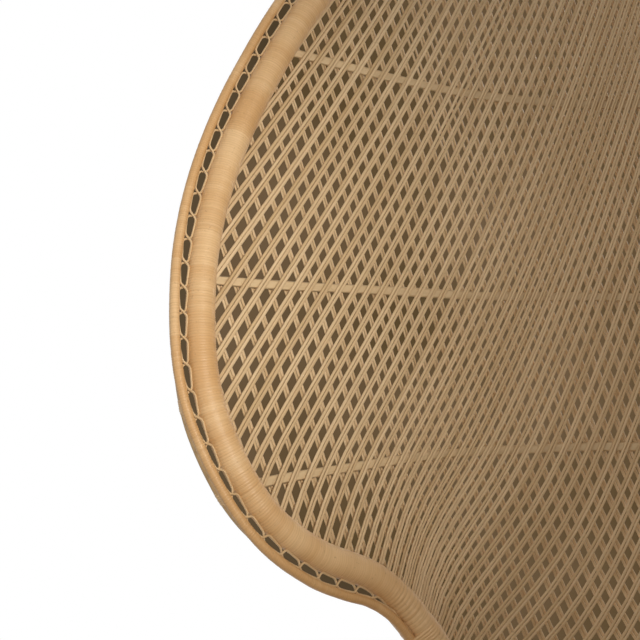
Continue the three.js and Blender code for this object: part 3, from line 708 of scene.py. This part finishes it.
def strip_angle(number, z):
    """Plan angle of a front strip at a height."""
    limit = np.full(np.broadcast(number, z).shape, STRIP_ANGLE_LIMIT)
    return by_halving(-limit, limit, lambda angle: strip_number(angle, z) < number)


def strip_places():
    """Strip numbers, even in a count that gains the extra strips across each neck."""
    place = np.linspace(-STRIP_COUNT_REACH, STRIP_COUNT_REACH, STRIP_COUNT_SAMPLES)
    count = place + sum(extra * np.tanh((place - middle) / reach) for middle, reach, extra in NECK_CROWDS)
    return np.interp(np.arange(-STRIP_REACH, STRIP_REACH) + 0.5, count, place)


edge_angles, edge_heights = edge_at(np.linspace(0.5, 1, RIGHT_EDGE_SAMPLES))
edge_heights = np.minimum.accumulate(edge_heights)


def edge_angle(z):
    """Plan angle of the edge at a height."""
    return np.interp(z, edge_heights[::-1], edge_angles[::-1])


def strip_stretches(number):
    """Heights between which a strip line lies inside the edge."""
    z = np.arange(ARM_FOOT_Z, FAN_TOP_Z, STRIP_SEARCH_STEP)
    inside = np.abs(strip_angle(number, z)) < edge_angle(z)
    change = np.flatnonzero(np.diff(np.concatenate([[False], inside, [False]]).astype(int)))
    return [(z[start], z[end - 1]) for start, end in change.reshape(-1, 2)]


# Rows of number, lower height, upper height and width: where strips crowd, the splits are narrower
STRIP_NUMBERS = strip_places()
STRIP_WIDTHS = SPLIT_HALF_WIDTH * np.gradient(STRIP_NUMBERS) ** 0.5
STRIP_ROWS = np.array([(number, low, high, width) for number, width in zip(STRIP_NUMBERS, STRIP_WIDTHS)
                       for low, high in strip_stretches(number) if high - low > STRIP_SHORTEST])


def split_strands(rows, layer, steps, rng):
    """Two splits to a strip, side by side: the strip's line wanders a little, and each split lies half a
    width to one side of it, or farther where the pair has come apart. Splits are widest at the foot."""
    count = len(rows)
    number, low, high, width = (rows[:, k, None] for k in range(4))
    t = np.linspace(0, 1, steps)[None]
    z = low + (high - low) * t

    def each(least, most):
        return rng.uniform(least, most, (count, 1))

    waves = (high - low) / LONG_STRIP * each(*WANDER_WAVES)
    wander = WANDER * np.sin(2 * np.pi * (waves * t + each(0, 1))) + each(-WANDER_SHIFT, WANDER_SHIFT)
    angle = layer * strip_angle(number + wander, z)
    normal = shell_normal(angle, z)
    offset = layer * (LAYER_OFFSET + each(-LAYER_PLAY, LAYER_PLAY))
    line = shell_middle(angle, z) + offset[..., None] * normal
    across, up = (np.repeat(part, 2, axis=0) for part in square_frame(line, normal))
    window = eased(1 - np.abs(t - each(*PARTED_PLACE)) / PARTED_REACH)
    parted = (each(0, 1) < PARTED_PAIRS) * each(*PARTED_BY) * window
    width = width * np.maximum(FOOT_WIDTH - SPLIT_TAPER * (z - low), LEAST_WIDTH)
    side = np.repeat(PAIR_SPACING * width + parted, 2, axis=0) * np.tile([-1.0, 1.0], count)[:, None]
    centre = np.repeat(line, 2, axis=0) + side[..., None] * across
    wide = np.repeat(width, 2, axis=0) * rng.uniform(*SPLIT_WIDTHS, (2 * count, 1))
    tone = np.clip(rng.normal(*SPLIT_TONE, 2 * count), 0, 1)
    return swept(centre, across, up, SPLIT_PROFILE, wide, SPLIT_HALF_THICKNESS, tone)


def together(shapes):
    """Several shapes as one, with their indices moved along."""
    starts = np.cumsum([0] + [len(shape["points"]) for shape in shapes[:-1]])
    joined = {key: np.concatenate([shape[key] for shape in shapes]) for key in ("points", "uv", "tone")}
    joined["quads"] = np.concatenate([shape["quads"] + start for shape, start in zip(shapes, starts)])
    joined["caps"] = [cap + start for shape, start in zip(shapes, starts) for cap in shape["caps"]]
    return joined


def add_weave(layer, name, seed):
    """Fan and arm strips of one layer; long and short strips have their own numbers of steps."""
    rng = np.random.default_rng(seed)
    number, low, high, _ = STRIP_ROWS.T
    is_fan = high > NECK_Z
    on_right = layer * strip_angle(number, high) > 0
    is_long = high - low > LONG_STRIP
    parts = [("fan", "", is_fan, FAN_GROUPS), ("arm", "_left", ~is_fan & ~on_right, ARM_GROUPS),
             ("arm", "_right", ~is_fan & on_right, ARM_GROUPS)]
    for part, side, own, groups in parts:
        masks = ((own & is_long, LONG_STRIP_STEPS), (own & ~is_long, SHORT_STRIP_STEPS))
        shapes = [split_strands(STRIP_ROWS[mask], layer, steps, rng) for mask, steps in masks if mask.any()]
        nodes = [f"{part}_weave_{name}{side}_{k}" for k in range(1, groups + 1)]
        add_piece(f"{part}_weave_{name}{side}_splits", together(shapes), SPLIT, nodes)


add_weave(1, "front", seed=11)
add_weave(-1, "rear", seed=23)


def add_band(name, height, rise, seed):
    """Flat lath between the layers, at height + rise times the squared plan angle, with a slight waver."""
    rng = np.random.default_rng(seed)
    outside = BAND_SEARCH > edge_angle(height + rise * BAND_SEARCH ** 2)
    end = BAND_SEARCH[np.flatnonzero(outside)[0]] - BAND_END_GAP
    angle = np.linspace(-end, end, BAND_STEPS)[None]
    z = height + rise * angle ** 2 + BAND_WAVER * np.sin(BAND_WAVES * angle + rng.uniform(0, BAND_PHASES))
    wide = BAND_HALF_WIDTH * (1 + BAND_SWELL * np.sin(BAND_SWELLS * angle + rng.uniform(0, BAND_PHASES)))
    shape = laid(shell_middle(angle, z), shell_normal(angle, z), SPLIT_PROFILE, wide, BAND_HALF_THICKNESS,
                 [BAND_TONE])
    add_piece(f"fan_band_{name}_lath", shape, LATH, [f"fan_band_{name}"])


for band_seed, band in enumerate(BANDS):
    add_band(*band, band_seed)


# Roll, hoop and lace along the edge

# Spans of the edge for each part, and for its lace
FAN_LACE_STOP = 2 / 3
ARM_LACE_STOP = 1.0
FAN_END = EDGE_SPANS - ARM_SPANS
FAN_LACE = (ARM_SPANS + FAN_LACE_STOP, FAN_END - FAN_LACE_STOP)
EDGE_PARTS = [("arm", "_left", (0, ARM_SPANS), (0, ARM_SPANS - ARM_LACE_STOP)),
              ("fan", "", (ARM_SPANS, FAN_END), FAN_LACE),
              ("arm", "_right", (FAN_END, EDGE_SPANS), (FAN_END + ARM_LACE_STOP, EDGE_SPANS))]


def round_strands(centre, normals, sides, radius, tones):
    """Round strands along their paths."""
    return laid(centre, normals, round_profile(sides), radius, radius, tones)


def pole(points, normals, radius, sides, joint_gap, tone):
    """Round pole along a path, with the slight swelling of a cane joint at every joint gap."""
    run = lengths_along(points)
    near = np.abs((run + JOINT_START * joint_gap) % joint_gap - joint_gap / 2)
    thick = radius * (1 + JOINT_SWELL * np.exp(-(near / JOINT_REACH) ** 2))
    return round_strands(points[None], normals, sides, thick, [tone])


def lace_line(first_span, last_span, share, beyond, spacing):
    """Points beside the roll at a share of the lace gap and a length beyond it, with normals, outward
    directions and the gap, which is closed at both ends and opens by a smooth step."""
    even, whole = edge_steps(first_span, last_span, ROLL_OFFSET, ROLL_RADIUS + LACE_GAP, spacing)
    near = np.minimum(np.arange(len(even)), np.arange(len(even))[::-1]) * whole / (len(even) - 1)
    gap = LACE_GAP * eased((near - LACE_CLOSED) / LACE_CLOSING)
    outward = ROLL_RADIUS + share * gap + beyond
    return *beside_edge(even, ROLL_OFFSET, outward[:, None]), gap


def end_binding(points, normals):
    """Windings that hold the rod's end to the roll: the outline round both circles, swelling at each turn."""
    way = round_profile(BINDING_SIDES)
    rod_out = ROLL_RADIUS + LACE_ROD_RADIUS
    on_rod = (rod_out * way[:, 0] + LACE_ROD_RADIUS > ROLL_RADIUS)[:, None]
    outline = np.where(on_rod, [rod_out, 0] + LACE_ROD_RADIUS * way, ROLL_RADIUS * way)
    swell = 1.0 + BINDING_SWELL * np.abs(np.sin(np.pi * np.arange(len(points)) / BINDING_TURN)) ** 0.5
    return laid(points[None], normals, outline, swell, swell, [BINDING_TONE])


def lashings(points, normals, seed):
    """Short windings of peel round the hoop at even gaps, where it is tied to the roll."""
    step = lengths_along(points)[1]
    every = round(LASHING_GAP / step)
    reach = round(LASHING_LENGTH / step)
    starts = range(every // 2, len(points) - reach, every)
    return together([wound_peel(points[start:start + reach + 1], normals[start:start + reach + 1],
                                HOOP_RADIUS, LASHING_WINDING, seed + start) for start in starts])


def rope(points, normals, tones):
    """Two canes twisted about each other: each lies its own radius off the path, turned by 2 pi per twist."""
    length = lengths_along(points)
    turns = round(length[-1] / ROPE_TWIST)
    across, up = square_frame(points, normals)
    angle = 2 * np.pi * turns * length / length[-1] + np.array([[0], [np.pi]])
    centre = points + ROPE_CANE_RADIUS * (np.cos(angle)[..., None] * across + np.sin(angle)[..., None] * up)
    return round_strands(centre, normals, ROPE_SIDES, ROPE_CANE_RADIUS, tones)


def lace_canes(points, normals, outs, gap):
    """Two canes that change places at every pitch: a steep flattened sine outward, so that each hugs roll and
    rod in turn round a long hole, and a cosine along the normal so that they pass over and under."""
    phase = np.pi * lengths_along(points) / LACE_PITCH
    swing = np.maximum(gap / 2 - LACE_CANE_SINK * LACE_CANE_RADIUS, 0)
    wave = swing * np.tanh(LACE_STEEPNESS * np.sin(phase)) / math.tanh(LACE_STEEPNESS)
    over = LACE_CANE_RADIUS * np.cos(phase)
    sign = np.array([1, -1])[:, None, None]
    centre = points + sign * (wave[:, None] * outs + over[:, None] * normals)
    return round_strands(centre, normals, LACE_CANE_SIDES, LACE_CANE_RADIUS, LACE_CANE_TONES)


for edge_seed, (part, side, spans, lace) in enumerate(EDGE_PARTS):
    path, facing = edge_path(*spans, ROLL_OFFSET, ROD_STEP)
    roll = wound_peel(path, facing, ROLL_RADIUS - ROLL_INSET, ROLL_WINDING, ROLL_SEED + edge_seed,
                      end_width=NECK_PEEL_WIDTH if part == "fan" else 1.0)
    add_piece(f"{part}_roll_peel{side}", roll, PEEL, [f"{part}_roll{side}"])
    path, facing = edge_path(*spans, HOOP_OFFSET, HOOP_STEP)
    hoop = pole(path, facing, HOOP_RADIUS, *HOOP_POLE)
    add_piece(f"{part}_hoop_pole{side}", hoop, POLE, [f"{part}_hoop{side}"])
    path, facing = edge_path(*spans, HOOP_OFFSET, FINE_STEP)
    add_piece(f"{part}_hoop_lashings{side}", lashings(path, facing, seed=101), PEEL, [])
    path, facing, _, _ = lace_line(*lace, 1, LACE_ROD_RADIUS, ROD_STEP)
    rod = wound_peel(path, facing, LACE_ROD_RADIUS - LACE_ROD_INSET, LACE_ROD_WINDING,
                     LACE_ROD_SEED + edge_seed)
    rod["tone"] = np.clip(rod["tone"] + LACE_ROD_DEEPER, 0, 1)
    path, facing = edge_path(*lace, ROLL_OFFSET, BINDING_STEP)
    ends = (slice(BINDING_FIRST, BINDING_LAST), slice(-BINDING_LAST, -BINDING_FIRST))
    bindings = [end_binding(path[end], facing[end]) for end in ends]
    add_piece(f"{part}_lace_rod_peel{side}", together([rod, *bindings]), PEEL,
              [f"{part}_lace_rod{side}"])
    canes = lace_canes(*lace_line(*lace, 0.5, 0, FINE_STEP))
    add_piece(f"{part}_lace_canes{side}", canes, SPLIT, [f"{part}_lace_loops{side}"])

left_binding = (ARM_SPANS - NECK_BINDING_ARM_SPAN, ARM_SPANS + NECK_BINDING_FAN_SPAN)
right_binding = (EDGE_SPANS - left_binding[1], EDGE_SPANS - left_binding[0])
neck_windings = [wound_peel(*edge_path(*spans, ROLL_OFFSET, FINE_STEP), ROLL_RADIUS + NECK_BINDING_RISE,
                            NECK_WINDING, seed=45) for spans in (left_binding, right_binding)]
add_piece("neck_bindings", together(neck_windings), PEEL, [])


# Seat

def ring_path(radius, z):
    """Circle about the chair's axis, with upright normals."""
    turn = np.linspace(0, 2 * np.pi, RING_STEPS, endpoint=False)
    points = np.stack([radius * np.cos(turn), AXIS_Y + radius * np.sin(turn), np.full_like(turn, z)], axis=-1)
    return points, np.tile(UPRIGHT, (len(turn), 1))


def add_ring(name, radius, z, tube, seed):
    """Ring wound with peel."""
    shape = wound_peel(*ring_path(radius, z), tube - RING_INSET, RING_WINDING, seed, closed=True)
    add_piece(f"{name}_peel", shape, PEEL, [name])


add_ring("seat_ring", SEAT_RADIUS, SEAT_Z, SEAT_TUBE, seed=51)
add_ring("floor_ring", FLOOR_RING_RADIUS, FLOOR_RING_TUBE, FLOOR_RING_TUBE, seed=52)
waist_low, waist_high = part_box("waist_ring")
WAIST_TUBE = (waist_high.z - waist_low.z) / 2
WAIST_RADIUS = waist_high.x - WAIST_TUBE * WAIST_CORNER
add_ring("waist_ring", WAIST_RADIUS, (waist_low.z + waist_high.z) / 2, WAIST_TUBE, seed=53)


def mat_strands(turned, rng):
    """Flat splits laid side by side across the seat. Height is a cosine over the crossing strips, up over one
    and down under the next, on a crown that falls with the squared distance from the middle."""
    widest = math.floor(MAT_RADIUS / MAT_PITCH)
    rows = np.arange(-widest, widest + 1)
    reach = np.sqrt(np.maximum(MAT_RADIUS ** 2 - (rows * MAT_PITCH) ** 2, 0))
    rows, reach = (array[reach > MAT_SHORTEST] for array in (rows, reach))
    side = rows * MAT_PITCH
    run = reach[:, None] * np.linspace(-1, 1, MAT_STEPS)
    over = np.cos(np.pi * (run / MAT_PITCH + rows[:, None] + turned))
    crown = MAT_CROWN * (1 - (run ** 2 + side[:, None] ** 2) / MAT_RADIUS ** 2)
    z = MAT_EDGE_Z + crown + MAT_WAVE * over
    other = side[:, None] + rng.normal(0, MAT_PLAY, (len(rows), 1)) + 0 * run
    x, y = (other, run) if turned else (run, other)
    centre = np.stack([x, AXIS_Y + y, z], axis=-1)
    wide = MAT_PITCH * MAT_SPLIT_SHARE * rng.uniform(*MAT_WIDTHS, (len(rows), 1))
    tone = np.clip(rng.normal(*MAT_TONE, len(rows)), 0, 1)
    return laid(centre, UPRIGHT, MAT_PROFILE, wide, MAT_HALF_THICKNESS, tone)


seat_rng = np.random.default_rng(61)
rim = ring_path(MAT_RADIUS - RIM_ROPE_SHIFT, MAT_EDGE_Z + RIM_ROPE_SHIFT)
mat_rim = rope(*(np.vstack([array, array[:1]]) for array in rim), RIM_ROPE_TONES)
mat_weave = together([*(mat_strands(turned, seat_rng) for turned in (0, 1)), mat_rim])
add_piece("seat_mat_weave", mat_weave, SPLIT, ["seat_mat"])

foot_angle = np.linspace(-FOOT_ROPE_ANGLE, FOOT_ROPE_ANGLE, FOOT_ROPE_STEPS)
foot_z = np.full_like(foot_angle, ARM_FOOT_Z + FOOT_ROPE_RISE)
foot_normal = shell_normal(foot_angle, foot_z)
foot_ropes = [rope(shell_middle(foot_angle, foot_z) + offset * foot_normal, foot_normal, tones)
              for offset, tones in FOOT_ROPES]
add_piece("weave_foot_ropes", together(foot_ropes), SPLIT, [])

for bar in ("seat_bar_1", "seat_bar_2", "seat_bar_3"):
    bar_low, bar_high = (np.array(corner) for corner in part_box(bar))
    bar_path = np.tile((bar_low + bar_high) / 2, (BAR_STEPS, 1))
    bar_path[:, 1] = np.linspace(bar_low[1], bar_high[1], BAR_STEPS)
    bar_radius = (bar_high[0] - bar_low[0]) / 2
    add_piece(f"{bar}_pole", pole(bar_path, UPRIGHT, bar_radius, *BAR_POLE), POLE, [bar])


# Base

def base_lines(start, turn, offset, share):
    """Straight lines from the floor ring to the seat ring, turned about the axis by the twist."""
    ends = ((FLOOR_RING_RADIUS + offset, start, BASE_FOOT_Z),
            (SEAT_RADIUS + offset, start + turn, BASE_HEAD_Z))
    foot, head = (np.stack([radius * np.cos(angle), radius * np.sin(angle), np.full_like(angle, z)], axis=-1)
                  for radius, angle, z in ends)
    return foot[:, None] + (head - foot)[:, None] * share[:, None]


def add_base_weave(layer, name, seed):
    """Pairs of splits on the straight lines of the hourglass; the normal is the line x its mirror image."""
    rng = np.random.default_rng(seed)
    pair = np.repeat(np.arange(BASE_PAIRS) + rng.uniform(-BASE_PAIR_PLAY, BASE_PAIR_PLAY, BASE_PAIRS), 2)
    play = rng.uniform(-BASE_SPLIT_PLAY, BASE_SPLIT_PLAY, 2 * BASE_PAIRS)
    side = np.tile([-1, 1], BASE_PAIRS) * BASE_SPLIT_SIDE + play
    start = (pair + side) * 2 * np.pi / BASE_PAIRS
    share = np.linspace(0, 1, BASE_STEPS)
    centre = base_lines(start, layer * BASE_TWIST, layer * BASE_LAYER_OFFSET, share)
    direction = unit(centre[:, -1:] - centre[:, :1])
    around = unit(np.stack([-centre[..., 1], centre[..., 0], 0 * centre[..., 0]], axis=-1))
    mirrored = direction - 2 * np.sum(direction * around, axis=-1, keepdims=True) * around
    normal = unit(np.cross(direction, mirrored))
    facing = np.sign(np.sum(normal[..., :2] * centre[..., :2], axis=-1, keepdims=True))
    across, up = square_frame(centre, normal * facing)
    wide = SPLIT_HALF_WIDTH * rng.uniform(*BASE_WIDTHS, (2 * BASE_PAIRS, 1))
    tone = np.clip(rng.normal(*BASE_TONE, 2 * BASE_PAIRS), 0, 1)
    shape = swept(centre + [0, AXIS_Y, 0], across, up, SPLIT_PROFILE, wide, SPLIT_HALF_THICKNESS, tone)
    add_piece(f"base_weave_{name}_splits", shape, SPLIT,
              [f"base_weave_{name}_{k}" for k in range(1, BASE_GROUPS + 1)])


add_base_weave(1, "outer", seed=71)
add_base_weave(-1, "inner", seed=72)


def add_post(name):
    """Bent pole inside the hourglass, from the floor ring's inner face to the seat ring's."""
    low, high = (np.array(corner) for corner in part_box(name))
    middle = (low + high) / 2 - [0, AXIS_Y, 0]
    turn = math.atan2(middle[1], middle[0])
    z = np.linspace(low[2], high[2], POST_STEPS)
    share = np.clip((z - BASE_FOOT_Z) / (BASE_HEAD_Z - BASE_FOOT_Z), 0, 1)
    line = base_lines(np.array([0.0]), BASE_TWIST, 0, share)[0]
    inset = np.interp(share, [0, 1], [FLOOR_RING_TUBE, SEAT_TUBE]) + POST_RADIUS + POST_GAP
    reach = np.linalg.norm(line[:, :2], axis=-1) - inset
    path = np.stack([reach * math.cos(turn), AXIS_Y + reach * math.sin(turn), z], axis=-1)
    facing = [math.cos(turn), math.sin(turn), 0.0]
    add_piece(f"{name}_pole", pole(path, facing, POST_RADIUS, *POST_POLE), POLE, [name])


for post in range(1, POST_COUNT + 1):
    add_post(f"base_post_{post}")


# Stage: pale floor, and painted shade: dark sheets close behind weave and lace that glow by themselves and
# stand in for the dim shade seen through them from the front

FLOOR_COLUMNS = 97
FLOOR_RADII = [0.0, 0.6, 1.2, 1.9]
FLOOR_Z = -0.0005
FLOOR_FADE = (0.3, 1.9)
FLOOR_LEAST_WHITE = 0.4
SHADE_SHEET_COLUMNS = 81
SHADE_SHEET_ROWS = 150
LOW_SHADE_SHEET_ROWS = 16
SHADE_SHEET_BEHIND = 0.0047
SHADE_SHEET_INSET = 0.006
SHADE_SHEET_END_GAP = 0.004
SHADE_SHEET_STEP_Z = ARM_Z - 0.001
SHADE_SHEET_LOW_ANGLE = 1.1
LACE_SHADE_SHEET_BEHIND = 2.2 * LACE_CANE_RADIUS
LACE_SHADE_SHEET_INSET = 0.004
LACE_SHADE_SHEET_STEP = 0.006


def plain_mesh(name, points, material):
    """Grid of points in rows, as a mesh of one material that stays apart from the chair's body."""
    index = np.arange(points.shape[0] * points.shape[1]).reshape(points.shape[:2])
    quads = np.stack([index[:-1, :-1], index[:-1, 1:], index[1:, 1:], index[1:, :-1]], axis=-1)
    sheet = meshed(name, points.reshape(-1, 3), quads.reshape(-1, 4).tolist(), material)
    return sheet


def in_view(tree):
    """1 where the ray comes from the camera, straight or by a reflection or through glass."""
    path = node(tree, "ShaderNodeLightPath").outputs
    seen = worked(tree, "MAXIMUM", path["Is Camera Ray"], path["Is Glossy Ray"])
    return worked(tree, "MAXIMUM", seen, path["Is Transmission Ray"])


def floor_material():
    """Pale matt floor that turns into the white background towards its rim."""
    material, tree, shader = new_material("pale_floor")
    shader.inputs["Base Color"].default_value = (0.82, 0.81, 0.79, 1)
    shader.inputs["Roughness"].default_value = 0.9
    distance = node(tree, "ShaderNodeVectorMath", {0: object_place(tree)}, operation="LENGTH")
    fade = ranged(tree, distance.outputs["Value"], FLOOR_FADE, least=FLOOR_LEAST_WHITE)
    white = node(tree, "ShaderNodeEmission", {"Color": (1, 1, 1, 1), "Strength": 1.0})
    blend(tree, worked(tree, "MULTIPLY", fade, in_view(tree)), shader, white)
    return material


def painted_shade_material(name, dark, light):
    """Painted shade: dim brown glow with a cloudy mottle, seen from the sitter's side only."""
    material, tree, shader = new_material(name)
    tree.nodes.remove(shader)
    cloud = noise(tree, object_place(tree), scale=4.0, detail=2.0)
    colour = mixed(tree, ranged(tree, cloud, CLOUD_LEVELS), dark, light)
    dim = node(tree, "ShaderNodeEmission", {"Color": colour, "Strength": 1.0})
    behind = node(tree, "ShaderNodeNewGeometry").outputs["Backfacing"]
    blend(tree, behind, dim, node(tree, "ShaderNodeBsdfTransparent"))
    return material


floor_turn = np.linspace(0, 2 * np.pi, FLOOR_COLUMNS)
floor_reach = np.array(FLOOR_RADII)[:, None]
floor_points = np.stack([floor_reach * np.cos(floor_turn), floor_reach * np.sin(floor_turn),
                         FLOOR_Z + 0 * floor_reach * floor_turn], axis=-1)
plain_mesh("floor", floor_points, floor_material())


def add_shade_sheet(name, low, high, rows, widest, material):
    """Sheet of painted shade close behind the weave, out to the edge or, below the neck, to the widest angle.
    """
    z = np.linspace(low, high, rows)[:, None]
    reach = np.where(z < NECK_Z, np.minimum(edge_angle(z), widest), edge_angle(z))
    angle = np.linspace(-1, 1, SHADE_SHEET_COLUMNS) * (reach - SHADE_SHEET_INSET)
    return plain_mesh(name, shell_middle(angle, z) - SHADE_SHEET_BEHIND * shell_normal(angle, z), material)


# Painted shade: dark brown glowing sheets just behind the weave, in place of the shade seen through its gaps.
PAINTED_SHADE = painted_shade_material("painted_shade", (0.10, 0.063, 0.027, 1), (0.155, 0.10, 0.053, 1))
shade_sheet = add_shade_sheet("painted_shade_sheet", SHADE_SHEET_STEP_Z, FAN_TOP_Z - SHADE_SHEET_END_GAP, SHADE_SHEET_ROWS, SHADE_SHEET_LOW_ANGLE, PAINTED_SHADE)
low_shade_sheet = add_shade_sheet("painted_shade_low_sheet", ARM_FOOT_Z + SHADE_SHEET_END_GAP, SHADE_SHEET_STEP_Z, LOW_SHADE_SHEET_ROWS,
                    ARM_FRONT_ANGLE, PAINTED_SHADE)
lace_sides = [lace_line(*FAN_LACE, share, beyond, LACE_SHADE_SHEET_STEP)
              for share, beyond in ((0, -LACE_SHADE_SHEET_INSET), (1, LACE_ROD_RADIUS))]
lace_points = [points - LACE_SHADE_SHEET_BEHIND * normals for points, normals, _, _ in lace_sides]
# Darker painted shade behind the lace's long holes.
LACE_PAINTED_SHADE = painted_shade_material("painted_shade_lace", (0.072, 0.048, 0.024, 1), (0.11, 0.075, 0.04, 1))
lace_shade_sheet = plain_mesh("painted_shade_lace_sheet", np.stack(lace_points), LACE_PAINTED_SHADE)
for backdrop in (shade_sheet, low_shade_sheet, lace_shade_sheet):
    backdrop.visible_diffuse = False
    backdrop.visible_glossy = False
    backdrop.visible_shadow = False


# Light and camera

def add_lamp(name, kind, place, aim, **settings):
    """Soft lamp at a place, turned to an aim."""
    lamp = bpy.data.lights.new(name, kind)
    for key, value in settings.items():
        setattr(lamp, key, value)
    holder = placed(name, lamp)
    holder.location = place
    holder.rotation_euler = (Vector(aim) - Vector(place)).to_track_quat("-Z", "Y").to_euler()


# World: white to the camera, even soft light for the rest
world = bpy.data.worlds.new("studio")
bpy.context.scene.world = world
world.use_nodes = True
sky = world.node_tree
soft_light = sky.nodes["Background"]
soft_light.inputs["Color"].default_value = (1.0, 0.98, 0.95, 1)
soft_light.inputs["Strength"].default_value = 0.32
white_light = node(sky, "ShaderNodeBackground", {"Color": (1, 1, 1, 1), "Strength": 1.0})
blend(sky, in_view(sky), soft_light, white_light, "World Output")

add_lamp("key", "SPOT", (0.8, AXIS_Y - 1.6, 1.4), (-0.66, AXIS_Y + 0.05, 0.98), energy=139,
         shadow_soft_size=0.2, spot_size=math.radians(35), spot_blend=1.0, color=(1.0, 0.96, 0.89))
add_lamp("fill", "AREA", (-2.0, -2.6, 1.9), (0, 0, 0.8), energy=14, size=1.6)
add_lamp("rear", "AREA", (1.2, 2.6, 2.2), (0, 0, 0.8), energy=45, size=1.8)

# Camera: focal length and shift of the chair's middle in pixels of a picture that wide
FOCAL_PIXELS = 1500
MIDDLE_PIXELS = 300
PICTURE_PIXELS = 640
SENSOR_WIDTH = 36
CAMERA_PLACE = (0, AXIS_Y - 1.410, 0.900)
CAMERA_LEFT = math.atan(MIDDLE_PIXELS / FOCAL_PIXELS)
CAMERA_UP = math.radians(1.337)
camera_data = bpy.data.cameras.new("photo_camera")
camera_data.sensor_width = SENSOR_WIDTH
camera_data.lens = SENSOR_WIDTH * FOCAL_PIXELS / PICTURE_PIXELS
camera = placed("photo_camera", camera_data)
camera.location = CAMERA_PLACE
camera.rotation_euler = (math.pi / 2 + CAMERA_UP, 0, CAMERA_LEFT)
bpy.context.scene.camera = camera
bpy.context.scene.view_settings.view_transform = "Standard"
